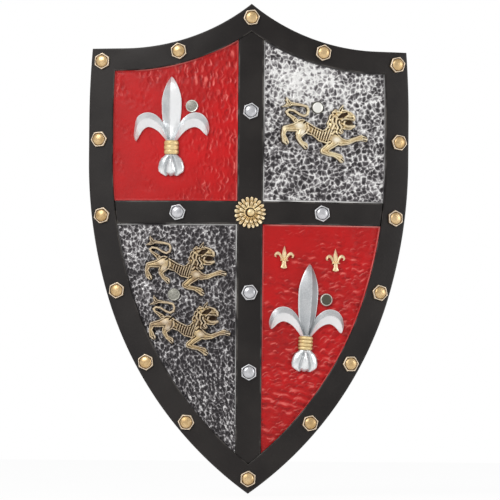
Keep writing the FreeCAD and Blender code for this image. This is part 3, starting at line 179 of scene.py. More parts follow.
def black_paint():
    """Satin black over the border and bars: mottled, rubbed paler where the mesh says edge."""
    finish = new_finish("black_paint")
    mottle = finish.noise(14.0, 4.0)
    speck = finish.noise(900.0, 2.0)
    body = finish.tint(finish.rise(mottle, 0.3, 0.7), colour(24, 20, 19), colour(36, 32, 30))
    body = finish.tint(finish.rise(speck, 0.64, 0.78) * 0.25, body, colour(84, 80, 76))
    pale_share = finish.trait("edge") * finish.rise(finish.noise(35.0, 3.0), 0.42, 0.62)
    body = finish.tint(pale_share * 0.6, body, colour(132, 126, 120))
    grain = finish.noise(450.0, 3.0)
    return finish.done(Base_Color=body, Roughness=0.40 + mottle * 0.14, Specular_IOR_Level=0.28,
                       Normal=finish.relief(grain + mottle * 2.0, 0.0002, 0.5))


def red_enamel():
    """Red paint over hammered sheet: the crescents get a pale pink painted highlight, the hollows and
    the walls turned away get painted shade, and the lip is painted pale here and there as a highlight."""
    finish = new_finish("red_enamel")
    drift = finish.noise(9.0, 3.0)
    body = finish.tint(finish.rise(drift, 0.3, 0.7), colour(170, 22, 22), colour(197, 18, 21))
    # Painted shade: darker red in the hollows and on the walls turned away.
    body = finish.tint(finish.trait("hollow") * 0.65, body, colour(118, 8, 12))
    ragged = finish.trait("crest") + (finish.noise(420.0, 3.0) - 0.5) * 0.3
    # Painted highlight: pale pink on the crescents and wrinkle slopes turned towards the light.
    body = finish.tint(finish.rise(ragged, 0.06, 1.0) * 0.8, body, colour(230, 112, 104))
    # Painted highlight along the lip, broken up by noise.
    lip = finish.trait("edge") * finish.rise(finish.noise(22.0, 2.0), 0.35, 0.62)
    body = finish.tint(lip * 0.7, body, colour(222, 150, 142))
    return finish.done(Base_Color=body, Roughness=0.32 + finish.noise(130.0) * 0.16,
                       Specular_IOR_Level=0.27,
                       Normal=finish.relief(finish.noise(320.0, 4.0), 0.0003, 0.5))


def antique_silver():
    """Hammered sheet: bright crests under a drifting painted sheen, black left in the hollows, and a
    painted highlight along the lip where it is pale.
    """
    finish = new_finish("antique_silver")
    crest = finish.trait("crest")
    fleck = finish.noise(520.0, 4.0)
    coarse = finish.noise(190.0, 3.0)
    share = finish.rise(crest + (fleck - 0.5) * 0.55 + (coarse - 0.5) * 0.5, 0.08, 1.0)
    body = finish.ramp(share, ((0.0, colour(33, 29, 32)), (0.3, colour(88, 84, 86)),
                               (0.62, colour(161, 158, 159)), (1.0, colour(243, 242, 240))))
    # Painted highlight along the lip, broken up by noise.
    lip = finish.trait("edge") * finish.rise(finish.noise(18.0, 2.0), 0.3, 0.55)
    body = finish.tint(lip * 0.95, body, colour(246, 245, 243))
    return finish.done(Base_Color=body, Metallic=0.35, Roughness=0.52 - share * 0.14,
                       Normal=finish.relief(fleck + coarse, 0.0005, 0.6))


def cast_metal(name, bright, middle, dark, gloss, darkness=1.0, metallic=0.6, dark_threshold=0.12):
    """Cast metal rubbed bright on its edges, with dark wax left in its hollows; on some pieces the bright
    is a painted highlight and the dark a painted shade. The lower the threshold is, the farther the
    dark spreads out of the hollows."""
    finish = new_finish(name)
    bright, middle, dark = colour(*bright), colour(*middle), colour(*dark)
    cloud = finish.noise(90.0, 4.0)
    fine = finish.noise(700.0, 3.0)
    body = finish.tint(finish.rise(cloud + (fine - 0.5) * 0.5, 0.32, 0.72), bright, middle)
    # Dark wax in the hollows; on some pieces the hollow trait is painted shade instead: shaded lily faces and
    # buds, the walls round lions, studs and rivets, one rivet's rim and the lions' broad low areas.
    dark_share = finish.rise(finish.trait("hollow") + (fine - 0.5) * 0.4, dark_threshold, dark_threshold + 0.78) * darkness
    body = finish.tint(dark_share, body, dark)
    pale = tuple(0.45 + 0.55 * part for part in bright)
    # Rubbed wear on some pieces, such as stud rims; on others the edge trait is a painted highlight: lit lily
    # faces, bud lobes and the lions' haunch, thigh and shoulder.
    pale_share = finish.trait("edge") * 0.7
    body = finish.tint(pale_share, body, pale)
    return finish.done(Base_Color=body, Metallic=metallic - pale_share * 0.4,
                       Roughness=gloss + cloud * 0.12 + dark_share * 0.25,
                       Normal=finish.relief(fine + cloud, 0.00025, 0.4))


def leather():
    """Dark harness leather: pores, creases and a darker edge."""
    finish = new_finish("harness_leather")
    pores = finish.node("ShaderNodeTexVoronoi", {"feature": "DISTANCE_TO_EDGE"},
                        {"Vector": finish.place(), "Scale": 900.0}, "Distance")
    cloud = finish.noise(40.0, 4.0)
    body = finish.tint(finish.rise(cloud, 0.3, 0.7), colour(58, 36, 24), colour(88, 56, 36))
    body = finish.tint(finish.trait("edge") * 0.6, body, colour(34, 22, 16))
    creases = finish.noise(120.0, 4.0, finish.place((1.0, 1.0, 0.25)))
    height = finish.rise(pores, 0.0, 0.12) * 0.5 + creases
    return finish.done(Base_Color=body, Roughness=0.52 + cloud * 0.15,
                       Normal=finish.relief(height, 0.0004, 0.6))


def thread():
    """Waxed linen thread."""
    finish = new_finish("waxed_thread")
    twist = finish.noise(1600.0, 2.0, finish.place((1.0, 1.0, 0.3)))
    body = finish.tint(finish.rise(twist, 0.35, 0.65), colour(172, 150, 112), colour(206, 186, 148))
    return finish.done(Base_Color=body, Roughness=0.7, Normal=finish.relief(twist, 0.0002, 0.7))


def stained_board():
    """Plywood stained near black: upright grain on the faces, level plies on the edge."""
    finish = new_finish("stained_board")
    grain = finish.noise(60.0, 6.0, finish.place((1.0, 1.0, 0.06)), 0.65)
    cloud = finish.noise(7.0, 3.0)
    body = finish.ramp(grain, ((0.25, colour(28, 24, 22)), (0.5, colour(44, 38, 34)),
                               (0.75, colour(60, 51, 44))))
    body = finish.tint(finish.rise(cloud, 0.35, 0.7) * 0.4, body, colour(36, 31, 29))
    plies = finish.rise(finish.trait("ply"), 0.35, 0.65)
    body = finish.tint(plies * 0.5, body, colour(84, 66, 50))
    return finish.done(Base_Color=body, Roughness=0.6 + grain * 0.15,
                       Normal=finish.relief(grain, 0.0006, 0.5))


# Meshes

class Skin:
    """Points, four-sided faces and the values that the points carry."""

    def __init__(self, points, faces, traits):
        self.points = points
        self.faces = faces
        self.traits = traits


def quads(number):
    """Four-sided faces between numbered points in rows and columns."""
    return np.stack([number[:-1, :-1], number[:-1, 1:], number[1:, 1:], number[1:, :-1]], axis=-1)


def grid(points, ring=False, facing=None, **traits):
    """Skin over points in rows and columns; a ring joins its last column to its first. With facing
    given, the faces are turned to that side."""
    rows, columns = points.shape[:2]
    number = np.arange(rows * columns).reshape(rows, columns)
    if ring:
        number = np.concatenate([number, number[:, :1]], axis=1)
    faces = quads(number).reshape(-1, 4)
    flat = points.reshape(-1, 3)
    if facing is not None:
        first, second = flat[faces[:, 2]] - flat[faces[:, 0]], flat[faces[:, 3]] - flat[faces[:, 1]]
        if np.cross(first, second).sum(axis=0) @ np.array(facing, float) < 0:
            faces = faces[:, ::-1]
    shared = {name: np.broadcast_to(value, (rows, columns)).reshape(-1)
              for name, value in traits.items()}
    return Skin(flat, faces, shared)


def front(points, **traits):
    """Skin over points in rows and columns, turned to the shield's front."""
    return grid(points, facing=(0, -1, 0), **traits)


def joined(skins):
    """One skin from several."""
    starts = np.cumsum([0] + [len(skin.points) for skin in skins[:-1]])
    names = sorted({name for skin in skins for name in skin.traits})
    traits = {name: np.concatenate([skin.traits.get(name, np.zeros(len(skin.points)))
                                    for skin in skins]) for name in names}
    return Skin(np.concatenate([skin.points for skin in skins]),
                np.concatenate([skin.faces + start for skin, start in zip(skins, starts)]), traits)


def piece(name, material, skins, stands_for, sharp):
    """Object from skins: in metres, smooth but for edges sharper than the angle given."""
    skin = joined(skins)
    mesh = bpy.data.meshes.new(name)
    mesh.vertices.add(len(skin.points))
    mesh.vertices.foreach_set("co", (skin.points / 1000).astype(np.float32).ravel())
    mesh.loops.add(skin.faces.size)
    mesh.loops.foreach_set("vertex_index", skin.faces.astype(np.int32).ravel())
    mesh.polygons.add(len(skin.faces))
    mesh.polygons.foreach_set("loop_start", np.arange(0, skin.faces.size, 4, dtype=np.int32))
    mesh.update(calc_edges=True)
    for trait, values in skin.traits.items():
        mesh.attributes.new(trait, "FLOAT", "POINT").data.foreach_set("value", values.astype(np.float32))
    close_seams(mesh)
    mesh.shade_smooth()
    mesh.set_sharp_from_angle(angle=math.radians(sharp))
    mesh.materials.append(material)
    thing = bpy.data.objects.new(name, mesh)
    bpy.context.scene.collection.objects.link(thing)
    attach(thing, "root")
    for node in stands_for:
        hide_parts(node)


def close_seams(mesh):
    """Merges points that lie together and drops the faces that vanish."""
    work = bmesh.new()
    work.from_mesh(mesh)
    bmesh.ops.remove_doubles(work, verts=work.verts, dist=2e-6)
    work.to_mesh(mesh)
    work.free()


# Places on the bent board

def wrapped(x, z, radius):
    """Points at reach x and height z, radius from the bend's upright axis."""
    x, z, radius = np.broadcast_arrays(x, z, radius)
    return np.stack([x, BEND_AXIS - np.sqrt(radius ** 2 - x ** 2), z], axis=-1)


class Seat:
    """Place of an ornament: across, up and out from a point of a bent face."""

    def __init__(self, x, z, radius, lean=0.0):
        self.z, self.radius = z, radius
        self.turn = math.asin(x / radius)
        self.lean = math.radians(lean)

    def leaned(self, across, up):
        return (across * math.cos(self.lean) + up * math.sin(self.lean),
                up * math.cos(self.lean) - across * math.sin(self.lean))

    def points(self, across, up, out):
        """Local measures turned to the seat's place on the bend."""
        across, up, out = np.broadcast_arrays(across, up, out)
        across, up = self.leaned(across, up)
        reach = self.radius + out
        return np.stack([reach * math.sin(self.turn) + across * math.cos(self.turn),
                         BEND_AXIS - reach * math.cos(self.turn) + across * math.sin(self.turn),
                         self.z + up], axis=-1)

    def floor(self, across, up):
        """How far out the bent face lies below the seat's flat plane, sunk by 0.6."""
        across, _ = self.leaned(across, up)
        return np.sqrt((self.radius - 0.6) ** 2 - across ** 2) - self.radius


def flank_end(inset):
    """Height where the flank's curve gives way to the toe's."""
    return FLANK_LEVEL - (FLANK_RADIUS - inset) * math.sin(FLANK_SWEEP)


def side_reach(z, inset):
    """Reach of the outline at a height, drawn in by inset."""
    def arc(centre, radius, level):
        return centre + np.sqrt(np.maximum((radius - inset) ** 2 - (z - level) ** 2, 0.0))
    curves = np.where(z > flank_end(inset), arc(FLANK_CENTRE, FLANK_RADIUS, FLANK_LEVEL),
                      arc(TOE_CENTRE, TOE_RADIUS, TOE_LEVEL))
    return np.where(z > BOW_LEVEL, arc(HALF_WIDTH - BOW_RADIUS, BOW_RADIUS, BOW_LEVEL),
                    np.where(z > FLANK_LEVEL, HALF_WIDTH - inset, curves))


def top_height(x, inset):
    """Height of the outline's top: a hollow arc from the peak, then a flat shoulder."""
    over = HOLLOW_REACH - np.minimum(x, HOLLOW_REACH)
    hollow = SHOULDER + HOLLOW_RADIUS - np.sqrt((HOLLOW_RADIUS + inset) ** 2 - over ** 2)
    return np.where(x < HOLLOW_REACH, hollow, SHOULDER - inset)


def toe_height(x, inset):
    """Height of the outline's lower end, which is its point where x is 0."""
    return TOE_LEVEL - np.sqrt((TOE_RADIUS - inset) ** 2 - (x - TOE_CENTRE) ** 2)


def outline(side, top):
    """Whole outline, drawn in by side and top, counter-clockwise from the peak."""
    x = np.linspace(0, HOLLOW_REACH, 27)[:-1]
    hollow = np.stack([x, top_height(x, top)], axis=-1)
    corner = SHOULDER - top
    x = np.linspace(HOLLOW_REACH, float(side_reach(np.array(corner), side)), 8)[:-1]
    shoulder = np.stack([x, np.full_like(x, corner)], axis=-1)
    turns = ((corner, BOW_LEVEL, 13), (BOW_LEVEL, FLANK_LEVEL, 9), (FLANK_LEVEL, flank_end(side), 24))
    levels = np.concatenate([np.linspace(high, low, count)[:-1] for high, low, count in turns])
    sides = np.stack([side_reach(levels, side), levels], axis=-1)
    radius = TOE_RADIUS - side
    turn = np.linspace(FLANK_SWEEP, math.acos(-TOE_CENTRE / radius), 42)
    toe = np.stack([TOE_CENTRE + radius * np.cos(turn), TOE_LEVEL - radius * np.sin(turn)], axis=-1)
    right = np.concatenate([hollow, shoulder, sides, toe])
    right[-1, 0] = 0.0
    left = right[1:-1][::-1] * (-1, 1)
    return np.concatenate([right, left])[::-1]


# Board, border and bars

def border(material):
    """Border: the outline's loop carried from its outer wall over rounded edges to its inner wall.
    Each step of the profile gives a radius, an inset and how rubbed it is."""
    profile = np.array([
        (PLATE_BACK, 0.25, 0.0), (602.5, 0.03, 0.0), (605.0, 0.03, 0.1), (605.6, 0.3, 0.3),
        (605.85, 0.9, 0.1), (605.88, 2.0, 0.0), (605.9, 14.7, 0.0), (605.88, 27.2, 0.0),
        (605.85, 28.6, 0.1), (605.6, 29.2, 0.8), (605.0, 29.45, 0.8), (602.4, 29.5, 0.2),
        (PLATE_BACK, 29.5, 0.0)])
    loops = [outline(inset, inset * BORDER_TOP / BORDER_SIDE) for inset in profile[:, 1]]
    points = np.stack([wrapped(loop[:, 0], loop[:, 1], radius)
                       for loop, radius in zip(loops, profile[:, 0])])
    x, z = points[:, :, 0], points[:, :, 2]
    wave = 0.12 * np.sin(x / 13 + 0.7 * np.sin(z / 17)) * np.sin(z / 19 + 1.1)
    inset, worn = profile[:, 1:2], profile[:, 2:3]
    points[:, :, 1] += np.where((inset > 1.5) & (inset < 28.0), wave, 0.0)
    piece("painted_border", material, [front(points, ring=True, edge=worn)],
          ("border_frame",), 50)


def bar(name, node, material, x, z, drop, hand=1):
    """Face of a bar: it falls by drop along its rounded, rubbed edges and waves a little between."""
    wave = 0.12 * np.sin(x / 11 + 0.6 * np.sin(z / 14)) * np.sin(z / 17 + 0.4)
    points = wrapped(x * hand, z, BAR_FACE - drop + np.where(drop > 0, 0, wave))
    wear = np.where((drop > 0.04) & (drop < 1), 0.5, 0.0)
    piece(name, material, [front(points, edge=wear)], (node,), 50)


EDGE_FALL = np.array([4.0, 0.9, 0.35, 0.05])


def crossbar(name, node, material, hand):
    """Bar from the upright to the border, whose inner edge its outer end follows."""
    edge = np.array([0.0, 0.02, 0.3, 0.9])
    wide, low, high = 150.0, CROSSBAR_BOTTOM + 0.3, CROSSBAR_TOP - 0.3
    along = np.concatenate([edge, np.linspace(2.0, wide - 2.0, 50), wide - edge[::-1]]) / wide
    up = np.concatenate([low + edge, np.linspace(low + 2.0, high - 2.0, 9), high - edge[::-1]])
    share, z = np.meshgrid(along, up)
    x = UPRIGHT_EDGE + share * (side_reach(z, 29.9) - UPRIGHT_EDGE)
    drop = np.maximum(*np.meshgrid(np.concatenate([EDGE_FALL, np.zeros(50), EDGE_FALL[::-1]]),
                                   np.concatenate([EDGE_FALL, np.zeros(9), EDGE_FALL[::-1]])))
    bar(name, node, material, x, z, drop, hand)


def upright(material):
    """Upright bar between the border's peak and point, its ends cut to the border's inner edge."""
    edge = np.array([15.75, 15.73, 15.4, 14.8])
    across = np.concatenate([-edge, np.linspace(-13.5, 13.5, 10), edge[::-1]])
    top, bottom = top_height(np.abs(across), WINDOW_TOP), toe_height(np.abs(across), WINDOW_SIDE)
    z = bottom + (top - bottom) * np.linspace(0, 1, 181)[:, None]
    x = np.broadcast_to(across, z.shape)
    fall = np.concatenate([EDGE_FALL, np.zeros(10), EDGE_FALL[::-1]])
    bar("painted_upright", "vertical_bar", material, x, z, np.broadcast_to(fall, z.shape))


def board(material):
    """Plywood board: rings drawn in from the outline, round the edge and over both faces. Each
    ring has a radius, an inset, a size and its ply."""
    rings = [(BOARD_BACK, 2.2, size, 0) for size in (0.0, 0.2, 0.4, 0.6, 0.8, 0.92)]
    rings += [(592.0, 2.0, 1.0, 0), (592.2, 1.2, 1.0, 0), (592.7, 0.85, 1.0, 0)]
    rings += [(radius, 0.8, 1.0, layer % 4 < 2) for layer, radius in enumerate(np.linspace(593.2, 599.2, 13))]
    rings += [(599.7, 0.9, 1.0, 0), (600.0, 1.6, 1.0, 0)]
    rings += [(BOARD_FRONT, 2.2, size, 0) for size in (0.9, 0.6, 0.3, 0.0)]
    centre = np.array([0.0, -150.0])
    rows = []
    for radius, inset, size, _ in rings:
        loop = centre + (outline(inset, inset) - centre) * size
        rows.append(wrapped(loop[:, 0], loop[:, 1], radius))
    ply = np.array([[float(layer)] for *_, layer in rings])
    piece("bent_board", material, [grid(np.stack(rows), ring=True, ply=ply)],
          ("shield_board",), 50)


# Hammered panels

def blows(across, up, cell, seed, slant, stretch, jitter=0.9):
    """Hammer blows, one random centre in each square of a slanted, stretched lattice: the way to
    the nearest centre, across and up in squares, the distance to it and to the second nearest, and
    the nearest blow's own two random numbers."""
    table = np.random.default_rng(seed).random((97, 89, 4))
    u = (across * math.cos(slant) + up * math.sin(slant)) / cell
    v = (up * math.cos(slant) - across * math.sin(slant)) / (cell * stretch)
    column, row = np.floor(u).astype(int), np.floor(v).astype(int)
    near = np.full(u.shape, 9.0)
    second = np.full(u.shape, 9.0)
    way_u, way_v, size, mark = (np.zeros(u.shape) for _ in range(4))
    for side in (-1, 0, 1):
        for rise in (-1, 0, 1):
            own = table[(column + side) % 97, (row + rise) % 89]
            du = u - (column + side + 0.5 + (own[..., 0] - 0.5) * jitter)
            dv = v - (row + rise + 0.5 + (own[..., 1] - 0.5) * jitter)
            away = np.hypot(du, dv)
            closer = away < near
            second = np.where(closer, near, np.minimum(second, away))
            way_u, way_v = np.where(closer, du, way_u), np.where(closer, dv, way_v)
            size, mark = np.where(closer, own[..., 2], size), np.where(closer, own[..., 3], mark)
            near = np.where(closer, away, near)
    return way_u, way_v, near, second, size, mark


def ripple(x, z, length, seed):
    """Smooth random field from -1 to 1: a mean of nine waves of about one length, each with its own
    direction and start."""
    random = np.random.default_rng(seed)
    turns, starts = random.random(9) * 2 * math.pi, random.random(9) * 2 * math.pi
    total = np.zeros(np.shape(x))
    for turn, start, stretch in zip(turns, starts, 0.7 + 0.6 * random.random(9)):
        along = x * math.cos(turn) + z * math.sin(turn)
        total = total + np.sin(2 * math.pi * along / (length * stretch) + start)
    return np.clip(total / 4.2, -1, 1)


def panel_grid(upper, hand, lips):
    """Points of a window between border and bars: reach, height, closeness to the window's edge, and
    how pale that edge is painted as a highlight: lips gives this below, above, at the upright and at
    the border."""
    lip = np.array([0.0, 0.8, 1.6])

    def spread(count, span):
        return np.concatenate([lip, np.linspace(2.3, span - 2.3, count), span - lip[::-1]]) / span
    if upper:
        wide = 154.0
        u, v = np.meshgrid(spread(190, wide), spread(235, 190.0))
        x = UPRIGHT_EDGE + u * wide
        for _ in range(3):
            z = CROSSBAR_TOP + v * (top_height(x, WINDOW_TOP) - CROSSBAR_TOP)
            x = UPRIGHT_EDGE + u * (side_reach(z, WINDOW_SIDE) - UPRIGHT_EDGE)
    else:
        u, v = np.meshgrid(spread(180, 148.0), spread(340, 283.0))
        low = toe_height(UPRIGHT_EDGE, WINDOW_SIDE)
        z = low + v * (CROSSBAR_BOTTOM - low)
        x = UPRIGHT_EDGE + u * np.maximum(side_reach(z, WINDOW_SIDE) - UPRIGHT_EDGE, 0.0)
    rim, pale = np.zeros_like(u), np.zeros_like(u)
    whole = slice(None)
    for height, line in ((1.0, 0), (0.95, 1), (0.25, 2)):
        sides = ((line, whole), (-1 - line, whole), (whole, line), (whole, -1 - line))
        # Each side's lip is painted pale as a highlight, as strongly as lips says.
        for side, pale_share in zip(sides, lips):
            rim[side] = np.maximum(rim[side], height)
            pale[side] = np.maximum(pale[side], height * pale_share)
    return x * hand, z, rim, pale


def hammered_panel(name, node, material, upper, hand, depth, lips, field):
    """Sheet beaten all over: field gives, for each point, how high it stands from 0, a hollow, to
    1, a crest, and how pale and how dark it is, with painted highlights and painted shade. A thin lip
    turns up along the border and the bars; where its painted highlight is weak, the silver sheets
    show it as a dark line, a painted shadow."""
    x, z, rim, pale = panel_grid(upper, hand, lips)
    height, crest, shade = field(x, z)
    flat = 1 - rim
    radius = PANEL_FACE + 0.1 - depth * (1 - height * flat) * flat + rim * 1.1
    piece(name, material,
          [front(wrapped(x, z, radius), crest=crest * flat, hollow=shade * flat, edge=pale)], (node,), 75)


def silver_cells(seed, cell, stretch, bright, wrinkled):
    """Round pits of many sizes with winding crests between them, bent by ripples; where wrinkled is
    high, slanting furrows join in, and a painted sheen drifts over the sheet."""
    def field(x, z):
        bent_x = x + 1.0 * ripple(x, z, 8.0, seed) + 1.6 * ripple(x, z, 26.0, seed + 1)
        bent_z = z + 1.0 * ripple(x, z, 8.0, seed + 2) + 1.6 * ripple(x, z, 26.0, seed + 3)
        _, _, near, second, size, mark = blows(bent_x, bent_z, cell, seed, 0.2, stretch, 0.95)
        pit = np.clip(1.15 - near / (0.40 + 0.26 * size), 0, 1) ** 0.7 * (0.34 + 0.66 * mark)
        join = np.clip((second - near) / 0.22, 0, 1)
        _, _, small, _, small_size, _ = blows(bent_x + 31, bent_z, cell * 0.52, seed + 9, 0.7, 1.0, 0.95)
        dot = np.clip(1.0 - small / (0.2 + 0.34 * small_size), 0, 1) * 0.55
        furrow = ripple(x * 0.75 + z * 0.65, z * 0.35 - x * 0.4, 4.2, seed + 5)
        furrow = np.clip(furrow, 0, 1) * wrinkled(x, z)
        raised = 1 - pit * (0.55 + 0.45 * join) - dot * (1 - pit) - 0.8 * furrow * (1 - pit)
        height = np.clip(raised, 0, 1)
        ridge = np.exp(-((second - near) / 0.16) ** 2) - 0.5
        # Painted sheen: brighter patches drifting over the sheet.
        shine = bright(x, z) + 0.16 * ripple(x, z, 34.0, seed + 6) + 0.10 * ripple(x, z, 11.0, seed + 7)
        crest = height * (0.78 - 0.16 * shine + 0.26 * ridge) + 0.75 * shine - 0.26
        return height, np.clip(crest, 0, 1.2), 1 - height
    return field


def red_dimples(seed, cell, stretch, facing, strong, long):
    """Long shallow blows over wrinkles, which are a ripple drawn out by long. The walls of both get a
    painted highlight where they face one way and painted shade where they face the other, and the
    hollows get painted shade too; only deep blows show."""
    cosine, sine = math.cos(facing), math.sin(facing)

    def field(x, z):
        bent_x, bent_z = x + 1.3 * ripple(x, z, 15.0, seed), z + 1.3 * ripple(x, z, 15.0, seed + 1)
        way_u, way_v, near, _, size, mark = blows(bent_x, bent_z, cell, seed, 0.12, stretch)
        power = np.clip(strong(x, z) + 0.35 * ripple(x, z, 30.0, seed + 2), 0, 1)
        reach = 0.34 + 0.16 * size
        bowl = np.clip(1 - (near / (reach + 0.12)) ** 2, 0, 1)
        height = np.clip(1 - power * bowl * (0.35 + 0.65 * mark), 0, 1)
        toward = (way_u * cosine + way_v * sine) / np.maximum(near, 0.05)
        wall = np.exp(-((near - reach) / 0.17) ** 2) * power

        def wrinkle(step):
            at_x, at_z = bent_x + step * cosine, bent_z + step * sine
            return ripple(at_x * long[0] - 0.2 * at_z, at_z * long[1] + 0.12 * at_x, 8.5, seed + 5)
        slope = (wrinkle(0.0) - wrinkle(1.1 / (long[0] + long[1]) + 0.3)) * power
        height = np.clip(height - 0.25 * power * (1 - wrinkle(0.0)), 0, 1)
        # lit is a painted highlight on walls turned towards facing; dim is painted shade in the hollows and
        # on walls turned away.
        lit = wall * np.clip(toward, 0, 1) ** 1.3 * np.clip(mark * 1.9 - 0.4, 0, 1)
        dim = 0.3 * (1 - height) + wall * np.clip(-toward, 0, 1) * (0.4 + 0.6 * mark)
        return (height, np.clip(lit + np.clip(1.7 * slope - 0.16, 0, 1), 0, 1),
                np.clip(dim + np.clip(-1.6 * slope - 0.1, 0, 1), 0, 1))
    return field


# Ornaments

def smooth_line(points, count):
    """Even run of points on a curve through the given ones (a Catmull-Rom spline, worked out
    between each pair from the four nearest)."""
    given = np.array(points, float)
    padded = np.concatenate([2 * given[:1] - given[1:2], given, 2 * given[-1:] - given[-2:-1]])
    share = np.linspace(0, len(given) - 1 - 1e-9, count)
    start = share.astype(int)
    t = (share - start)[:, None]
    a, b, c, d = (padded[start + step] for step in range(4))
    return 0.5 * (2 * b + (c - a) * t + (2 * a - 5 * b + 4 * c - d) * t ** 2
                  + (3 * b - a - 3 * c + d) * t ** 3)


def between(left, right, count, across):
    """Points across and up, at shares of the way from one smooth line to another."""
    left, right = smooth_line(left, count), smooth_line(right, count)
    flat = left[:, None, :] + (right - left)[:, None, :] * across[..., None]
    return flat[..., 0], flat[..., 1]


def walled(seat, across, up, out):
    """Local measures with a wall down to the panel added along both sides."""
    foot = seat.floor(across, up)
    across, up = (np.concatenate([side[:, :1], side, side[:, -1:]], axis=1) for side in (across, up))
    return across, up, np.concatenate([foot[:, :1], out, foot[:, -1:]], axis=1)


def leaf(seat, left, right, ridge, edge, top, tip_fall, hollow, count, painted_light=(0.0, 0.0)):
    """Petal between two edge lines from root to tip: it rises from a low edge to a ridge line that
    lies a share of the way across, on slightly hollow slopes, and falls to its tip. Its two faces get
    a painted highlight where the value given for them is above 0 and painted shade where it is
    below; its rims are pale."""
    across = np.concatenate([np.linspace(0, ridge, 9), np.linspace(ridge, 1, 9)[1:]])[None, :]
    slope = np.where(across < ridge, across / ridge, (1 - across) / (1 - ridge))
    fall = np.clip((1 - np.linspace(0, 1, count)[:, None]) / tip_fall, 0, 1) ** 0.7
    a, b = between(left, right, count, across)
    points = walled(seat, a, b, edge + (top - edge) * slope ** hollow * fall)
    # Painted light per face: a highlight above 0, painted shade below 0, pale rim columns.
    face = np.concatenate([np.full(9, painted_light[0]), [np.mean(painted_light) + 0.3], np.full(9, painted_light[1])])
    face[[1, -2]] = 1.1
    # Dark at the walls, and painted shade on a face whose value is below 0.
    darkening = np.maximum(np.concatenate([[1.0, 0.25], np.zeros(15), [0.25, 1.0]]), -face)
    return front(seat.points(*points), hollow=darkening, edge=np.maximum(face, 0))


def pillow(seat, left, right, edge, top, count):
    """Rounded lobe between two edge lines: a half-round section that swells and sinks from end to
    end."""
    along = np.linspace(0, 1, count)[:, None]
    across = (1 - np.cos(np.linspace(0, math.pi, 21)))[None, :] / 2
    swell = np.clip(1 - (2 * along - 1) ** 6, 0, 1) ** 0.5
    round_up = np.clip(4 * across * (1 - across), 0, 1) ** 0.5
    a, b = between(left, right, count, across)
    points = walled(seat, a, b, edge + (top - edge) * round_up * swell)
    return front(seat.points(*points), hollow=np.concatenate([[1.0, 0.8], np.zeros(19), [0.8, 1.0]]))


def bulb(seat, top, foot, wide, shade):
    """Bud of a lily: a swelling body with a middle lobe and two side lobes between grooves that run
    apart towards its foot, its height a product of a half-round across and a swell along. The
    lobes get painted highlights and the rest painted shade by shade."""
    down = np.linspace(0, 1, 44)[:, None]
    share = np.sin(np.linspace(-math.pi / 2, math.pi / 2, 53))[None, :]
    half = wide / 2 * np.interp(down, (0, 0.08, 0.2, 0.38, 0.62, 0.8, 0.92, 1.0),
                                (0.40, 0.52, 0.76, 0.92, 1.0, 0.96, 0.80, 0.62))
    scallop = -0.09 * foot * (1 - np.abs(np.cos(1.5 * math.pi * share)) ** 0.6) * down ** 8
    groove = np.exp(-((np.abs(share) - 0.16 - 0.34 * down) / 0.11) ** 2) * np.clip(6 * down, 0, 1)
    swell = 0.72 + 0.28 * np.sin(math.pi * np.clip(down * 0.9 + 0.05, 0, 1))
    body = np.sqrt(np.clip(1 - share ** 2, 0, 1)) * swell
    lobe = np.sin(math.pi * np.clip(down * 1.05, 0, 1)) ** 0.6
    lobe = lobe * np.exp(-(share / (0.12 + 0.24 * down)) ** 2)
    end_fall = np.clip((1 - down) / 0.14, 0, 1) ** 0.5
    height = (1.5 + 5.6 * body + 2.0 * lobe - 2.1 * groove) * (0.35 + 0.65 * end_fall)
    a, b, out = walled(seat, half * share, top - foot * (down + 0 * share) - scallop, height)
    a, b = np.concatenate([a, a[-1:]]), np.concatenate([b, b[-1:]])
    out = np.concatenate([out, seat.floor(a[-1:], b[-1:])])
    # Painted highlights on the middle lobe and the two side lobes; away from them, painted shade by shade.
    pale = (np.exp(-(share / 0.24) ** 2 - ((down - 0.68) / 0.24) ** 2)
            + np.exp(-((np.abs(share) - 0.74) / 0.26) ** 2 - ((down - 0.86) / 0.22) ** 2))
    dark_share = np.pad(np.maximum(0.62 * groove, shade * (1 - pale)), ((0, 1), (1, 1)), constant_values=1.0)
    pale = np.pad((2.0 - 2.0 * shade) * pale * (1 - groove), ((0, 1), (1, 1)))
    return front(seat.points(a, b, out), hollow=dark_share, edge=pale)


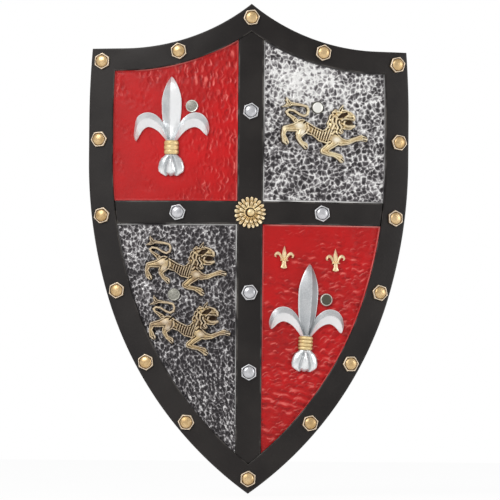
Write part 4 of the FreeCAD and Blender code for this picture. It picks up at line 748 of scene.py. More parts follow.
def fleur(name, node, material, seat, height, ridge, droop, painted_light, side_painted_light):
    """Lily: three ridged petals over a collar and a bud of three lobes; the left petal's tip hangs
    lower by its droop."""
    half = [(0.0, 2.8), (0.1, 6.3), (0.25, 10.1), (0.4, 11.7), (0.52, 12.2), (0.64, 12.1),
            (0.75, 10.4), (0.86, 7.3), (0.94, 3.9), (0.985, 1.5), (1.0, 0.1)]
    middle = leaf(seat, [(-wide, up * height) for up, wide in half],
                  [(wide, up * height) for up, wide in half], ridge, 1.6, 7.8, 0.22, 1.1, 72, painted_light)
    outer = [(2.0, 0.0), (6.0, 10.5), (10.4, 21.6), (16.6, 29.2), (23.0, 33.4), (30.5, 34.8),
             (38.5, 32.5), (44.2, 26.1), (46.9, 17.2), (46.6, 11.0), (44.6, 6.4)]
    inner = [(6.9, 0.0), (9.2, 3.0), (13.0, 7.6), (17.6, 12.0), (23.8, 15.6), (30.0, 16.6),
             (35.4, 14.2), (39.2, 10.6), (41.6, 8.0), (43.4, 6.6), (44.6, 6.4)]
    petals = []
    for hand, hang in ((1, 0.0), (-1, droop)):
        lines = [[(x * hand, y - hang * min(max((x - 30.0) / 14.0, 0), 1.1) ** 2 * (y < 25))
                  for x, y in line] for line in (outer, inner)]
        petals.append(leaf(seat, *lines, 0.46, 1.6, 7.4, 0.22, 1.05, 96, side_painted_light))
    turn = np.linspace(-math.pi / 2, math.pi / 2, 25)[None, :]
    across = 6.6 * np.sin(turn)
    level = np.linspace(1.0, -19.8, 12)[:, None] + 0 * turn
    stem = seat.points(across, level, 6.6 * np.cos(turn) + seat.floor(across, 0.0))
    bud = bulb(seat, -16.8, 27.6, 32.6, 0.36 + 0.2 * painted_light[0])
    piece(name, material, [middle, *petals, bud, front(stem, hollow=0.3)],
          (node,), 40)


def collar(seat, ribs, depth):
    """Half ring clasping a stem: radius = neck + ribs that follow the size of a sine along it."""
    turn = np.linspace(-math.pi / 2, math.pi / 2, 33)[None, :]
    share = np.linspace(0, 1, 20 * ribs + 1)[:, None]
    wave = np.abs(np.sin(math.pi * ribs * share)) ** 0.55
    radius = (9.3 - 1.5 * depth * (1 - wave) - 0.5 * (2 * share - 1) ** 4
              + 0.12 * np.sin(9 * turn + 20 * share))
    end = np.full((1, 33), 6.5)
    radius = np.concatenate([end, radius, end])
    share = np.concatenate([share[:1], share, share[-1:]])
    wave = np.concatenate([[[0.0]], wave, [[0.0]]])
    up = -0.3 - 17.2 * share + 0 * turn
    side = np.clip((np.abs(np.sin(turn)) - 0.8) / 0.2, 0, 1)
    dark_share = np.clip((1 - wave) ** 2 * (0.35 + 0.6 * depth) + 0.7 * side, 0, 1)
    return front(seat.points(radius * np.sin(turn), up, radius * np.cos(turn) - 0.3), hollow=dark_share)


def small_fleur(name, node, material, seat):
    """Small flat lily: a spike, two curled petals, a band and a flared foot."""
    tall = 29.0

    def line(shares, hand=1):
        return [(x * hand * tall, y * tall) for x, y in shares]
    spike = [(0.05, -0.12), (0.085, 0.1), (0.06, 0.3), (0.0, 0.5)]
    outer = [(0.04, -0.13), (0.10, 0.06), (0.17, 0.18), (0.27, 0.235), (0.37, 0.19), (0.43, 0.09),
             (0.40, 0.0), (0.32, -0.02)]
    inner = [(0.13, -0.13), (0.17, -0.01), (0.23, 0.08), (0.29, 0.10), (0.335, 0.075),
             (0.345, 0.04), (0.33, 0.01), (0.32, -0.02)]
    foot = [(0.07, -0.12), (0.09, -0.22), (0.10, -0.33), (0.14, -0.44), (0.02, -0.49)]
    skins = [leaf(seat, line(spike, -1), line(spike), 0.5, 1.0, 3.0, 0.3, 1.0, 30)]
    skins += [leaf(seat, line(outer, hand), line(inner, hand), 0.5, 1.0, 2.6, 0.2, 0.8, 40)
              for hand in (1, -1)]
    skins.append(pillow(seat, line(foot, -1), line(foot), 1.0, 2.7, 24))
    across, up = np.meshgrid(np.linspace(-0.17, 0.17, 12) * tall, np.linspace(-0.17, -0.10, 7) * tall)
    bulge = np.array([-3.2, 2.2, 3.1, 3.3, 3.1, 2.2, -3.2])[:, None]
    skins.append(front(seat.points(across, up, bulge + 0 * across), hollow=0.2))
    piece(name, material, skins, (node,), 40)


def turned(seat, profile, around, shape=None, turn=0.0):
    """Profile turned round the seat's own axis, each step a radius, a height, how dark and how
    rubbed it is; shape bends the radius."""
    angle = np.linspace(0, 2 * math.pi, around, endpoint=False)[None, :]
    radius, out, dark_share, worn = np.array(profile, float).T[:, :, None]
    soft = shape(angle, radius) if shape else np.ones_like(angle)
    across, up = radius * soft * np.cos(angle + turn), radius * soft * np.sin(angle + turn)
    return grid(seat.points(across, up, out + 0 * angle), ring=True, hollow=dark_share, edge=worn)


def stud(seat, turn):
    """Hexagonal rim, a moat and a dome: the radius follows a hexagon outside and a circle inside."""
    def hexagon(angle, radius):
        corner = math.cos(math.pi / 6) / np.cos(np.mod(angle, math.pi / 3) - math.pi / 6)
        return 1 + np.clip((radius - 7.6) / 1.6, 0, 1) * (corner ** 0.9 - 1)
    # The first two steps, the outer wall, are painted dark as a shadow round the stud.
    rim = [(10.4, -1.2, 0.9, 0), (10.4, 1.2, 0.5, 0), (10.3, 2.0, 0.1, 1), (10.0, 2.7, 0.0, 1),
           (9.5, 3.0, 0.0, 1), (8.9, 2.95, 0.0, 1), (8.45, 2.5, 0.3, 0.5), (8.05, 1.8, 0.8, 0),
           (7.7, 1.5, 1.0, 0), (7.45, 1.9, 0.7, 0)]
    dome = [(7.4 * math.cos(step), 2.1 + 3.0 * math.sin(step), 0.47 - 0.35 * math.sin(step), 0)
            for step in np.linspace(0.14, math.pi / 2, 9)]
    return turned(seat, rim + dome, 48, hexagon, math.radians(turn))


def rosette(material):
    """Rosette cast in one: an outer ring of twenty ribbed tips, an inner ring of thirteen, and a
    small boss. Each ring's edge and cups follow powers of a cosine."""
    seat = Seat(0.0, CROSSING, BAR_SEAT)
    around = 384
    angle = np.linspace(0, 2 * math.pi, around, endpoint=False)[None, :]
    share = np.linspace(1, 0.10, 26)[:, None]
    cup = np.exp(-((share - 0.90) / 0.09) ** 2)
    skins = []
    for tips, reach, low, high, turn, notch, wall, outer in (
            (20, 19.5, 0.8, 3.0, 0.1, 0.17, -4.5, 1), (13, 13.6, 2.9, 5.0, 0.5, 0.15, 0.4, 0)):
        uneven = 1 + 0.35 * np.sin(3 * angle + tips) * outer
        petal = np.abs(np.cos(tips / 2 * (angle + turn) + 0.22 * np.sin(5 * angle)))
        edge = reach * (1 - notch * (1 - petal ** 0.8) * uneven)
        height = low + (high - low) * (0.35 * cup + 0.65 * petal ** 0.8 * (0.35 + 0.65 * share))
        gap = np.exp(-(petal / 0.36) ** 2) * np.clip((share - 0.56) / 0.14, 0, 1)
        groove = np.exp(-((petal - 0.97) / 0.06) ** 2) * np.clip((share - 0.5) / 0.1, 0, 1) * (share < 0.93)
        height = np.concatenate([np.full((1, around), wall), height - 1.7 * gap - 0.8 * groove])
        radius = np.concatenate([edge, edge * share])
        centre = 0.8 * np.clip((0.52 - share) / 0.1, 0, 1) * (1 - outer) + 0.15 * (share < 0.7)
        darkening = np.clip(1.1 * gap + 0.35 * groove + centre, 0, 1)
        darkening = np.pad(darkening, ((1, 0), (0, 0)), constant_values=1.0)
        light = np.pad(cup * np.clip(petal - 0.3, 0, 1), ((1, 0), (0, 0)))
        skins.append(grid(seat.points(radius * np.cos(angle), radius * np.sin(angle), height),
                          ring=True, hollow=darkening, edge=light))
    boss = [(4.9, 2.6, 1.0, 0), (4.9, 4.0, 0.9, 0)]
    boss += [(4.7 * math.cos(step), 4.0 + 2.4 * math.sin(step), dark, 0)
             for step, dark in zip(np.linspace(0.1, math.pi / 2, 8), (0.6, 0.2, 0.2, 0.2, 0, 0, 0, 0))]
    skins.append(turned(Seat(0.7, CROSSING - 0.2, BAR_SEAT), boss, 36))
    piece("rosette_casting", material, skins, ("rosette",), 45)


# Lions: strokes over a lion whose length is a thousand, each point across and up from the middle of
# its box, with half the stroke's width there.

LION_FLESH = (
    # torso, neck, head
    ((-264, 1, 74), (-122, -59, 54), (-32, -112, 66), (51, -112, 90), (119, -140, 72)),
    ((51, -100, 72), (95, -20, 68), (118, 60, 64), (150, 118, 62), (225, 132, 58), (285, 122, 52),
     (322, 108, 36), (332, 86, 26)),
    ((140, 60, 50), (195, 20, 50), (235, -4, 34), (295, -8, 28), (338, 4, 20)),
    ((225, 48, 44), (296, 44, 36)),
    ((52, 30, 26), (62, 52, 26)),
    ((74, 90, 26), (84, 112, 26)),
    ((112, 150, 28), (130, 168, 26)),
    ((150, -20, 50), (190, -60, 30)),
    ((176, 160, 30), (214, 240, 6)),
    # forelegs
    ((130, -140, 62), (190, -172, 46), (265, -176, 31), (351, -142, 27), (420, -122, 34),
     (470, -138, 28)),
    ((120, -170, 54), (50, -228, 42), (-4, -276, 42), (40, -304, 30), (110, -316, 28),
     (176, -344, 38), (200, -376, 32)),
    # hind legs
    ((-264, 0, 76), (-350, -20, 48), (-450, -34, 34), (-472, -100, 25), (-450, -166, 36),
     (-432, -186, 30)),
    ((-250, -40, 66), (-288, -96, 44), (-300, -130, 30), (-266, -188, 26), (-222, -216, 34),
     (-212, -236, 26)),
    # tail and its tuft
    ((-330, 60, 30), (-372, 96, 22), (-418, 124, 16), (-434, 152, 15), (-408, 176, 15),
     (-350, 168, 15), (-285, 126, 15), (-235, 108, 15), (-196, 128, 15), (-184, 172, 15),
     (-200, 214, 15), (-260, 230, 16), (-330, 238, 18), (-392, 246, 22), (-418, 238, 24)),
    ((-400, 240, 28), (-426, 282, 20), (-434, 312, 6)),
    ((-400, 240, 28), (-446, 218, 17), (-480, 208, 6)),
)
LION_LINES = (
    # back, belly, haunch
    ((-170, 28, 9), (-110, -12, 9), (-55, -36, 8), (5, -40, 8), (45, -10, 7)),
    ((-190, -86, 8), (-130, -134, 9), (-60, -178, 9), (10, -190, 9), (62, -176, 8)),
    ((-330, 60, 8), (-240, 74, 9), (-182, 36, 9)),
    ((-190, 20, 9), (-185, -40, 10), (-215, -90, 8)),
    ((85, -85, 10), (115, -60, 10), (150, -80, 8)),
    # brow, muzzle, cheek and jaw
    ((112, 160, 9), (165, 168, 10), (228, 196, 10), (285, 165, 10), (330, 130, 11), (336, 90, 10)),
    ((196, 64, 8), (232, 92, 9), (268, 84, 8), (312, 78, 10)),
    ((228, 60, 9), (220, 24, 10), (262, 0, 10), (318, -2, 10), (346, 10, 8)),
    ((112, 120, 10), (140, 85, 12), (170, 100, 9)),
)
LION_LOCKS = (
    ((100, 110, 9), (80, 60, 10), (110, 20, 10), (84, -30, 9)),
    ((130, 70, 9), (128, 30, 10), (156, -4, 10), (136, -50, 9), (150, -80, 7)),
    ((168, 56, 9), (160, 26, 10), (192, -6, 10), (176, -44, 9), (196, -70, 6)),
    ((-404, 232, 5), (-424, 262, 5), (-432, 300, 4)),
    ((-392, 242, 5), (-440, 226, 5), (-474, 206, 4)),
)
LION_HOLLOWS = (
    # eye and the hollow behind it, mouth, ear, between thigh and flank
    ((162, 100, 12), (210, 126, 29), (250, 142, 16)),
    ((252, 42, 16), (284, 46, 34), (308, 44, 26)),
    ((180, 178, 8), (206, 218, 4)),
    ((150, 30, 6), (178, -20, 6)),
    ((-214, 50, 10), (-240, 30, 8)),
    # between the toes
    ((440, -120, 4), (486, -124, 5)), ((440, -146, 4), (478, -156, 5)),
    ((190, -366, 4), (222, -392, 5)), ((206, -350, 4), (232, -368, 5)),
    ((-440, -176, 4), (-424, -204, 5)), ((-226, -226, 4), (-204, -250, 5)),
)


def stroke_shares(across, up, stroke):
    """Least distance to a stroke, as a share of its width there and as a gap beside it: along each
    piece the nearest point is found, and the width runs evenly from end to end."""
    share_of_width = np.full(across.shape, 99.0)
    gap = np.full(across.shape, 99.0)
    stroke = np.array(stroke) / 1000
    for (x0, y0, w0), (x1, y1, w1) in zip(stroke, stroke[1:]):
        run_x, run_y = x1 - x0, y1 - y0
        share = ((across - x0) * run_x + (up - y0) * run_y) / (run_x ** 2 + run_y ** 2)
        share = np.clip(share, 0, 1)
        away = np.hypot(across - x0 - share * run_x, up - y0 - share * run_y)
        wide = w0 + (w1 - w0) * share
        share_of_width = np.minimum(share_of_width, away / wide)
        gap = np.minimum(gap, away - wide)
    return share_of_width, gap


def softened(field, times):
    """Field averaged with its neighbours."""
    for _ in range(times):
        field = (2 * field + np.roll(field, 1, 0) + np.roll(field, -1, 0)) / 4
        field = (2 * field + np.roll(field, 1, 1) + np.roll(field, -1, 1)) / 4
    return field


def lion_relief():
    """Height of the lion over its ground, its nearness to the outline, how hollow and how high each
    point lies, the hollow partly painted shade over broad low areas, and painted highlight spots on
    haunch, thigh and shoulder: limbs are half-round strokes, over them stand ribs, locks and rims,
    and hollows are cut."""
    across, up = np.meshgrid(np.linspace(-0.52, 0.52, 301), np.linspace(-0.44, 0.34, 226))
    outside = np.full(across.shape, 99.0)
    height = np.zeros(across.shape)
    for stroke in LION_FLESH:
        share, gap = stroke_shares(across, up, stroke)
        wide = max(width for _, _, width in stroke) / 1000
        outside = np.minimum(outside, gap)
        swell = np.sqrt(np.clip(1 - share ** 2, 0, 1))
        height = np.maximum(height, swell * (0.010 + 0.45 * min(wide, 0.065)))
    torso, _ = stroke_shares(across, up, LION_FLESH[0])
    inside = np.clip((across + 0.175) / 0.03, 0, 1) * np.clip((0.075 - across) / 0.03, 0, 1)
    height = height - 0.011 * inside * np.clip(1.15 - torso, 0, 1)
    for step in range(8):
        rib = ((-134 + 31 * step, -22 - 10 * step + 1.2 * step ** 2, 6.5),
               (-150 + 28 * step, -72 - 17 * step + 1.2 * step ** 2, 6.5),
               (-152 + 27 * step, -104 - 17 * step + 1.0 * step ** 2, 5))
        share, _ = stroke_shares(across, up, rib)
        height = height + 0.016 * np.exp(-(share / 0.85) ** 2)
    for strokes, lift in ((LION_LINES, 0.012), (LION_LOCKS, 0.013)):
        for stroke in strokes:
            share, _ = stroke_shares(across, up, stroke)
            beside = np.exp(-((share - 2.1) / 0.8) ** 2)
            height = height + lift * np.exp(-(share / 0.9) ** 2) - 0.5 * lift * beside
    rim = np.exp(-((outside + 0.009) / 0.006) ** 2)
    height = height + 0.007 * rim - 0.005 * np.exp(-((outside + 0.022) / 0.007) ** 2)
    cut = np.zeros(across.shape)
    for stroke in LION_HOLLOWS:
        share, _ = stroke_shares(across, up, stroke)
        cut = np.maximum(cut, np.exp(-share ** 4))
        height = height - 0.034 * np.exp(-share ** 4)
    height = softened(0.020 + np.clip(height, -0.012, 0.052), 1)
    fine = np.clip((softened(height, 5) - height) * 420 - 0.08, 0, 1)
    # Painted shade over broad low areas between the raised parts.
    broad = np.clip((softened(height, 40) - height) * 110 - 0.10, 0, 1)
    darkening = np.maximum(fine, broad) * (1 - 0.8 * rim)
    darkening = np.maximum(darkening, np.clip(1 - (height - 0.006) / 0.012, 0, 1))
    darkening = np.maximum(darkening, np.clip(1.5 * cut - 0.4, 0, 1))
    light = np.clip((height - softened(height, 12)) * 120, 0, 1)
    crown = 0.25 * np.clip((height - 0.050) / 0.008, 0, 1)
    light = np.maximum(light, np.maximum(0.9 * rim ** 3, crown)) * (1 - cut)
    # Painted highlights on haunch, thigh and shoulder.
    highlight_spots = sum(np.exp(-((across - x) / 0.046) ** 2 - ((up - z) / 0.034) ** 2)
               for x, z in ((-0.290, 0.002), (-0.250, -0.078), (0.135, -0.150)))
    return across, up, height, outside, darkening, light, highlight_spots


def lion(name, node, material, seat, length, painted_light):
    """Lion's relief: the squares inside its outline, their border points moved onto the outline,
    and a wall down to the panel all round, painted dark as a shadow. Haunch, thigh and shoulder get
    painted highlights."""
    across, up, height, outside, darkening, light, highlight_spots = LION_RELIEF
    light = np.maximum(light, painted_light * highlight_spots * (1 - darkening))
    step = across[0, 1] - across[0, 0]
    slope_up, slope_across = np.gradient(outside, step)
    steep = np.maximum(slope_up ** 2 + slope_across ** 2, 0.25)
    moved = (np.abs(outside) < 1.2 * step) & (outside > -0.8 * step)
    across = across - np.where(moved, outside * slope_across / steep, 0)
    up = up - np.where(moved, outside * slope_up / steep, 0)
    middle = (outside[:-1, :-1] + outside[1:, :-1] + outside[:-1, 1:] + outside[1:, 1:]) / 4
    total = across.size
    faces = quads(np.arange(total).reshape(across.shape))[middle < 0]
    border = np.concatenate([faces[:, [0, 1]], faces[:, [1, 2]], faces[:, [2, 3]], faces[:, [3, 0]]])
    _, where, count = np.unique(np.sort(border, axis=1) @ (total, 1), return_index=True, return_counts=True)
    first, second = border[where[count == 1]].T
    walls = np.stack([second, first, first + total, second + total], axis=-1)
    a, b = (across * length).ravel(), (up * length).ravel()
    points = np.concatenate([seat.points(a, b, (height * length).ravel()),
                             seat.points(a, b, seat.floor(a, b))])
    used, flat = np.unique(np.concatenate([faces, walls]), return_inverse=True)
    # The wall round the outline is painted fully dark, a painted shadow round the lion.
    dark_share = np.concatenate([darkening.ravel(), np.ones(total)])[used]
    shine = np.concatenate([light.ravel(), np.zeros(total)])[used]
    piece(name, material,
          [Skin(points[used], flat.reshape(-1, 4), {"hollow": dark_share, "edge": shine})], (node,), 60)


# Straps and their rivets

def rivets(material):
    """Domed heads over the panels, with a soft rim; the tarnish of head and rim differs from one to
    the next, and the head without any is polished. The wall under each head is painted dark as a
    shadow, and the polished head's dark rim is a painted shadow ring."""
    skins = []
    # head and rim: tarnish, but the 0.9 rim beside the polished head is a painted shadow ring.
    for (x, z), (head, rim) in zip(RIVET_PLACES, ((0.60, 0.0), (0.0, 0.9), (0.62, 0.5), (0.95, 0.15))):
        shine = 1.2 * (head == 0)
        # The first step, the wall under the head, is painted dark as a shadow.
        profile = [(7.8, -1.6, 1.0, 0), (7.8, 0.9, 0.5, 0), (7.6, 1.6, rim, 0), (7.1, 2.0, rim, 0),
                   (6.7, 1.95, rim, 0), (6.3, 1.75, head, shine)]
        profile += [(6.2 * math.cos(step), 1.7 + 0.9 * math.sin(step), head, shine)
                    for step in np.linspace(0.1, math.pi / 2, 6)]
        skins.append(turned(Seat(x, z, PANEL_SEAT), profile, 40))
    piece("domed_rivets", material, skins, ("strap_rivets",), 40)


def hammered_ends(material):
    """Washers against the leather, each with the rivet's end beaten into a low uneven dome."""
    profile = np.array([(7.5, 0.0, 1.0), (7.5, 0.9, 0.6), (7.2, 1.2, 0.1), (4.7, 1.25, 0.4),
                        (4.4, 1.3, 1.0), (4.3, 2.0, 0.6), (3.6, 2.8, 0.1), (2.4, 3.2, 0.0),
                        (1.1, 3.3, 0.2), (0.0, 3.3, 0.2)])[::-1]
    size, out, dark_share = profile.T[:, :, None]
    angle = np.linspace(0, 2 * math.pi, 36, endpoint=False)[None, :]
    radius = size * (1 + 0.03 * np.sin(5 * angle) * (size < 5))
    leather_back = BOARD_BACK - 0.4 - 2 * HALF_LEATHER
    skins = [grid(Seat(x, z, BOARD_BACK).points(radius * np.cos(angle), radius * np.sin(angle),
                                                leather_back - BOARD_BACK - out),
                  ring=True, hollow=dark_share) for x, z in RIVET_PLACES]
    piece("washers_and_ends", material, skins, ("rivet_washers",), 40)


def strap_line(tab_start, tab_end, room, offset=0.0):
    """Strap seen from above: a tab along the board's back, a bend away from it, and the arch over
    the room for hand or arm, then the same mirrored; offset moves the line towards the hand."""
    middle, bend = BOARD_BACK - 0.3 - HALF_LEATHER, 14.0
    start_turn, end_turn = math.asin(tab_start / middle), math.asin(tab_end / middle)
    bend_x = (middle - bend) * math.sin(start_turn)
    bend_y = BEND_AXIS - (middle - bend) * math.cos(start_turn)
    top = BEND_AXIS - BOARD_BACK + room + HALF_LEATHER
    rise = top - bend_y
    arch = (bend_x ** 2 + rise ** 2 - bend ** 2) / (2 * (rise + bend))
    arch_y = top - arch
    meet = math.atan2(bend_y - arch_y, bend_x)
    tab = np.linspace(end_turn, start_turn, 16)
    curl = np.linspace(start_turn - math.pi / 2, meet - math.pi, 18)[1:]
    curl = np.where(curl > start_turn, curl - 2 * math.pi, curl)
    bow = np.linspace(meet, math.pi / 2, 36)[1:]
    x = np.concatenate([(middle - offset) * np.sin(tab), bend_x + (bend - offset) * np.cos(curl),
                        (arch - offset) * np.cos(bow)])
    y = np.concatenate([BEND_AXIS - (middle - offset) * np.cos(tab),
                        bend_y + (bend - offset) * np.sin(curl), arch_y + (arch - offset) * np.sin(bow)])
    half = np.stack([x, y], axis=-1)
    return np.concatenate([half, half[:-1][::-1] * (-1, 1)])


def strap(name, node, material, sewing, tab, room, wide, level):
    """Leather strap: a section with rounded edges and a pressed line beside each, carried along the
    strap's line; the ends are cut at the corners. Stitches lie in the pressed lines."""
    half = np.array([(0.1, 1.0), (0.36, 0.98), (0.37, 0.86), (0.39, 0.86), (0.40, 0.98), (0.44, 0.98),
                     (0.465, 0.93), (0.492, 0.6), (0.5, 0.0)])
    upper = np.concatenate([half[::-1] * (-1, 1), half])
    section = np.concatenate([upper, upper[1:-1][::-1] * (1, -1)])
    middle = strap_line(*tab, room)
    outward = strap_line(*tab, room, 1.0) - middle
    run = np.concatenate([[0], np.cumsum(np.hypot(*np.diff(middle, axis=0).T))])
    corner = np.clip(np.minimum(run, run[-1] - run) / 7.0, 0, 1)
    order = np.concatenate([[0], np.arange(len(run)), [len(run) - 1]])
    pinch = np.ones(len(order))
    pinch[[0, -1]] = 0.001
    width = (wide - 14.0 * (1 - corner))[order] * np.where(pinch < 1, 0.96, 1)
    line, away = middle[order][:, None], outward[order][:, None]
    depth = section[None, :, 1] * (HALF_LEATHER * pinch)[:, None]
    points = np.stack([line[..., 0] + away[..., 0] * depth, line[..., 1] + away[..., 1] * depth,
                       level + section[None, :, 0] * width[:, None]], axis=-1)
    worn = (np.abs(section[:, 0]) > 0.45) * 1.0
    piece(name, material, [grid(points, ring=True, edge=worn)], (node,), 60)
    stitch_row(f"{name}_stitches", sewing, middle, outward, run, wide, level)


def stitch_row(name, sewing, middle, outward, run, wide, level):
    """Stitches along both pressed lines, on both faces: each a small six-sided pod."""
    places = np.arange(11.0, run[-1] - 11.0, 4.2)

    def sample(line):
        return np.stack([np.interp(places, run, line[:, 0]), np.interp(places, run, line[:, 1])], axis=-1)
    at, away = sample(middle), sample(outward)
    away = (away / np.hypot(*away.T)[:, None])[:, :, None, None]
    face, side = np.meshgrid((-1, 1), (-1, 1))
    face, side = face.ravel()[:, None, None, None], side.ravel()[:, None, None, None]
    turn = np.linspace(0, 2 * math.pi, 6, endpoint=False)
    reach = np.array([-1.5, -1.2, 0.0, 1.2, 1.5])[:, None]
    girth = np.array([0.02, 0.42, 0.5, 0.42, 0.02])[:, None]
    out = 1.34 * face + 0.8 * girth * np.cos(turn)
    points = np.stack(np.broadcast_arrays(
        at[:, 0, None, None] - away[:, 1] * reach + away[:, 0] * out,
        at[:, 1, None, None] + away[:, 0] * reach + away[:, 1] * out,
        level + side * 0.38 * wide + girth * np.sin(turn)), axis=-1).reshape(-1, 5, 6, 3)
    number = np.arange(30).reshape(5, 6)
    pod = quads(np.concatenate([number, number[:, :1]], axis=1)).reshape(-1, 4)
    faces = (pod[None] + 30 * np.arange(len(points))[:, None, None]).reshape(-1, 4)
    piece(name, sewing, [Skin(points.reshape(-1, 3), faces, {})], (), 80)


# The shield

paint = black_paint()
silver = antique_silver()
enamel = red_enamel()
lion_gold = cast_metal("lion_gold", (240, 222, 176), (186, 154, 98), (56, 34, 18), 0.34, darkness=0.97,
                       dark_threshold=0.0)
dull_lion_gold = cast_metal("dull_lion_gold", (226, 196, 136), (146, 108, 60), (44, 26, 14), 0.36,
                            darkness=0.97, dark_threshold=-0.33)
lily_gold = cast_metal("lily_gold", (245, 224, 182), (228, 198, 152), (132, 88, 56), 0.36, darkness=0.8)
stud_gold = cast_metal("stud_gold", (226, 195, 146), (192, 158, 106), (84, 56, 30), 0.30)
rosette_gold = cast_metal("rosette_gold", (242, 222, 176), (210, 176, 116), (56, 36, 18), 0.34)
stud_silver = cast_metal("stud_silver", (212, 212, 215), (190, 191, 195), (78, 78, 82), 0.26)
bright_silver = cast_metal("bright_silver", (226, 228, 229), (204, 208, 210), (120, 122, 126), 0.24,
                           darkness=0.7, metallic=0.55)
tan_gold = cast_metal("tan_gold", (232, 208, 154), (214, 184, 124), (134, 98, 56), 0.38, darkness=0.9,
                      metallic=0.4)
nickel = cast_metal("nickel", (228, 226, 216), (206, 206, 196), (84, 84, 72), 0.30)
hide = leather()
sewing = thread()

border(paint)
upright(paint)
crossbar("painted_left_bar", "left_crossbar", paint, -1)
crossbar("painted_right_bar", "right_crossbar", paint, 1)
board(stained_board())


def upper_silver_light(x, z):
    """Brightest high up near the middle, a second pale patch to its right, darker elsewhere."""
    return (0.43 + 0.60 * np.exp(-((x - 60) / 42) ** 2 - ((z - 34) / 34) ** 2)
            + 0.22 * np.exp(-((x - 128) / 34) ** 2 - ((z - 14) / 34) ** 2)
            - 0.10 * np.clip((32 - x) / 14, 0, 1))


def lower_silver_light(x, z):
    """Dull all over, a little paler along the left, low down and at the top."""
    return (0.16 + 0.09 * np.clip((-x - 90) / 40, 0, 1) + 0.10 * np.clip((-300 - z) / 60, 0, 1)
            + 0.04 * np.clip((z + 172) / 18, 0, 1))


def upper_wrinkles(x, z):
    """Faint furrows everywhere."""
    return 0.15


def lower_wrinkles(x, z):
    """Slanting furrows low down, under the lions."""
    return np.clip((-285 - z) / 60, 0.15, 0.8)


def upper_red_power(x, z):
    """Beaten hardest in the right half and along the top, nearly flat at the left and below."""
    power = 0.18 + 0.65 * np.clip((x + 120) / 80, 0, 1) + 0.5 * np.clip((z - 5) / 55, -0.35, 1)
    return np.clip(power, 0.06, 1)


def lower_red_power(x, z):
    """Beaten all over, hardest at the right and low down."""
    power = 0.62 + 0.22 * np.clip((x - 60) / 60, -1, 1) + 0.42 * np.clip((-225 - z) / 75, -1, 1)
    return np.clip(power, 0.1, 1)


# For each sheet, lips gives the painted highlight on its lip below, above, at the upright and at the border.
hammered_panel("silver_sheet_upper", "panel_upper_right", silver, True, 1, 1.3,
               (1.0, 0.1, 0.5, 0.25), silver_cells(11, 6.0, 1.0, upper_silver_light, upper_wrinkles))
hammered_panel("silver_sheet_lower", "panel_lower_left", silver, False, -1, 1.3,
               (0.3, 0.45, 0.6, 0.1), silver_cells(23, 4.6, 1.35, lower_silver_light, lower_wrinkles))
hammered_panel("red_sheet_upper", "panel_upper_left", enamel, True, -1, 1.0,
               (0.05, 0.7, 0.7, 0.15), red_dimples(37, 5.0, 1.9, 0.0, upper_red_power, (1.0, 0.45)))
hammered_panel("red_sheet_lower", "panel_lower_right", enamel, False, 1, 1.2,
               (0.3, 0.95, 0.3, 0.5), red_dimples(51, 8.6, 0.55, 1.9, lower_red_power, (0.44, 0.78)))

UPPER_FLEUR = Seat(-98.05, -42.9, PANEL_SEAT)
LOWER_FLEUR = Seat(71.04, -284.8, PANEL_SEAT, 2.8)
# The last two arguments of each lily set the painted highlight and painted shade on its middle and side
# petals' faces.
fleur("lily_upper", "fleur_upper_left", bright_silver, UPPER_FLEUR, 79.4, 0.46, 6.5,
      (0.0, 1.4), (0.0, 1.1))
fleur("lily_lower", "fleur_lower_right", bright_silver, LOWER_FLEUR, 89.3, 0.64, 0.0,
      (-0.62, -0.98), (-0.45, 1.42))
piece("gilt_collars", tan_gold, [collar(UPPER_FLEUR, 3, 0.5), collar(LOWER_FLEUR, 4, 1.0)],
      ("lily_collars",), 60)
small_fleur("small_lily_left", "small_fleur_left", lily_gold, Seat(43.02, -187.2, PANEL_SEAT, 2))
small_fleur("small_lily_right", "small_fleur_right", lily_gold, Seat(107.65, -190.0, PANEL_SEAT, -1))

LION_RELIEF = lion_relief()
# The last number sets the painted highlights on haunch, thigh and shoulder.
lion("lion_casting_upper", "lion_upper_right", lion_gold, Seat(91.75, -23.2, PANEL_SEAT), 111.5, 1.6)
lion("lion_casting_middle", "lion_lower_left_top", dull_lion_gold, Seat(-78.84, -194.45, PANEL_SEAT),
     102.9, 0.9)
lion("lion_casting_low", "lion_lower_left_bottom", dull_lion_gold, Seat(-73.65, -268.5, PANEL_SEAT),
     102.9, 0.9)


def height_at(share):
    """Height at a share of the way from the shoulders down to the point."""
    return SHOULDER - share * (SHOULDER - toe_height(0, 0))


def stud_piece(name, node, material, radius, places, turns):
    """Studs at reach and height, each turned by its own degrees."""
    skins = [stud(Seat(float(x), float(z), radius), turn) for (x, z), turn in zip(places, turns)]
    piece(name, material, skins, (node,), 45)


peak = (0.0, (top_height(0.0, 0) + top_height(0.0, BORDER_TOP)) / 2)
point = (0.0, (toe_height(0, 0) + toe_height(0, BORDER_SIDE)) / 2)
right_side = [(90.2, top_height(90.2, 12.5)), (side_reach(56.3, 13), 56.3)]
right_side += [(side_reach(height_at(share), 12.5), height_at(share))
               for share in (0.205, 0.377, 0.546, 0.707, 0.841)]
both_sides = [(x * hand, z) for x, z in right_side for hand in (1, -1)]
stud_piece("gilt_studs", "border_studs", stud_gold, BORDER_SEAT,
           [peak, *both_sides, point], (8, 20, 40, 12, 28, 50, 5, 33, 17, 44, 24, 2, 36, 14, 55, 26))
cross_places = [(0.0, height_at(share)) for share in (0.141, 0.549, 0.728)]
cross_places += [(-90.05, CROSSING), (90.05, CROSSING)]
stud_piece("silver_studs", "cross_studs", stud_silver, BAR_SEAT, cross_places,
           (22, 6, 31, 14, 38))
rosette(rosette_gold)

rivets(nickel)
hammered_ends(nickel)
strap("leather_grip", "hand_grip", hide, sewing, (59.8, 96.8), 55.0, 30.0, 0.0)
strap("leather_forearm", "forearm_strap", hide, sewing, (80.1, 109.7), 82.0, 40.0, -237.0)


# Camera, light and floor

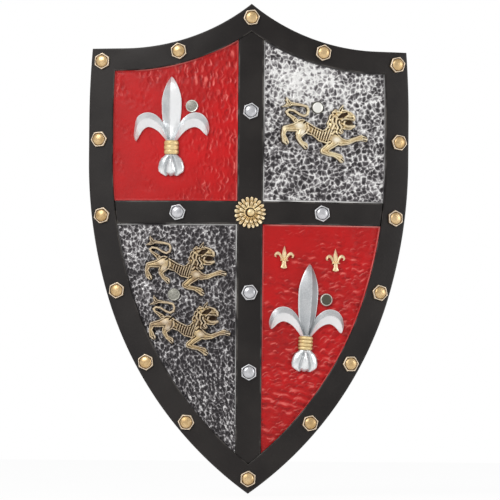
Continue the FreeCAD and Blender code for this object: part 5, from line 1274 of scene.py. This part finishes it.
def placed(name, content, place):
    """Object that holds a camera or light at a place."""
    thing = bpy.data.objects.new(name, content)
    bpy.context.scene.collection.objects.link(thing)
    thing.location = place
    return thing


def lamp(name, place, size, power):
    """Square soft light at a place, aimed at the shield's middle."""
    light = bpy.data.lights.new(name, "AREA")
    light.shape = "RECTANGLE"
    light.size, light.size_y = size
    light.energy = power
    away = np.array(place) - (0, 0, -0.15)
    flat = math.hypot(away[0], away[1])
    placed(name, light, place).rotation_euler = (math.atan2(flat, away[2]), 0, math.atan2(away[0], -away[1]))


def light_path(finish, kind):
    return finish.node("ShaderNodeLightPath", {}, {}, kind)


def world():
    """Even grey light; the camera, and mirrors that look past the shield, see white."""
    finish = Finish(bpy.data.worlds.new("studio"))
    path = light_path(finish, "Is Camera Ray")
    mirrored = light_path(finish, "Is Glossy Ray") + light_path(finish, "Is Transmission Ray")
    where = finish.node("ShaderNodeTexCoord", {}, {}, "Generated")
    depth = finish.node("ShaderNodeSeparateXYZ", {}, {"Vector": where}, 1)
    height = finish.node("ShaderNodeSeparateXYZ", {}, {"Vector": where}, 2)
    seen = path + mirrored * finish.rise(depth, -0.1, 0.3)
    base = finish.tint(finish.rise(height, -0.6, 0.8), (0.22, 0.22, 0.22), (0.50, 0.50, 0.50))
    shade = finish.tint(seen, base, (1.0, 1.0, 1.0))
    light = finish.node("ShaderNodeBackground", {}, {"Color": shade, "Strength": 1.0})
    finish.node("ShaderNodeOutputWorld", {}, {"Surface": light})
    bpy.context.scene.world = finish.owner


def floor():
    """Plain pale floor under the point: the camera sees it nearly white, with the shadow on it."""
    finish = new_finish("pale_floor")
    body = finish.tint(finish.noise(3.0), (0.86, 0.86, 0.86), (0.9, 0.9, 0.9))
    matt = finish.node("ShaderNodeBsdfDiffuse", {}, {"Color": body})
    white = finish.node("ShaderNodeEmission", {}, {"Color": (1.0, 1.0, 1.0), "Strength": 1.0})
    path, glossy = light_path(finish, "Is Camera Ray"), light_path(finish, "Is Glossy Ray")
    shown = finish.node("ShaderNodeMixShader", {}, {0: path * 0.95 + glossy * 0.9, 1: matt, 2: white})
    finish.node("ShaderNodeOutputMaterial", {}, {"Surface": shown})
    x, y = np.meshgrid(np.linspace(-3000, 3000, 3), np.linspace(-3000, 3000, 3))
    skin = grid(np.stack([x, y, np.full_like(x, -483.5)], axis=-1), facing=(0, 0, 1))
    mesh = bpy.data.meshes.new("floor")
    mesh.from_pydata((skin.points / 1000).tolist(), [], skin.faces.tolist())
    mesh.materials.append(finish.owner)
    thing = placed("floor", mesh, (0, 0, 0))


def camera():
    """Long lens, a little below the shield's middle and to its left, turned a touch."""
    lens = bpy.data.cameras.new("view")
    distance, rise, swing, roll = 5.0, math.radians(-2.2), math.radians(-3.2), math.radians(-0.47)
    picture_width = 0.6231
    lens.sensor_width = 36.0
    lens.lens = lens.sensor_width * distance / picture_width
    toward = np.array([math.sin(swing) * math.cos(rise), -math.cos(swing) * math.cos(rise), math.sin(rise)])
    thing = placed("view", lens, (0.0030, -0.020, -0.1779) + distance * toward)
    thing.rotation_euler = (math.pi / 2 - rise, roll, swing)
    bpy.context.scene.camera = thing


world()
floor()
camera()
lamp("window", (-1.5, -2.0, 1.4), (1.5, 1.5), 52)
lamp("side", (2.5, -1.2, 0.3), (1.0, 1.2), 20)
bpy.context.scene.view_settings.view_transform = "Standard"
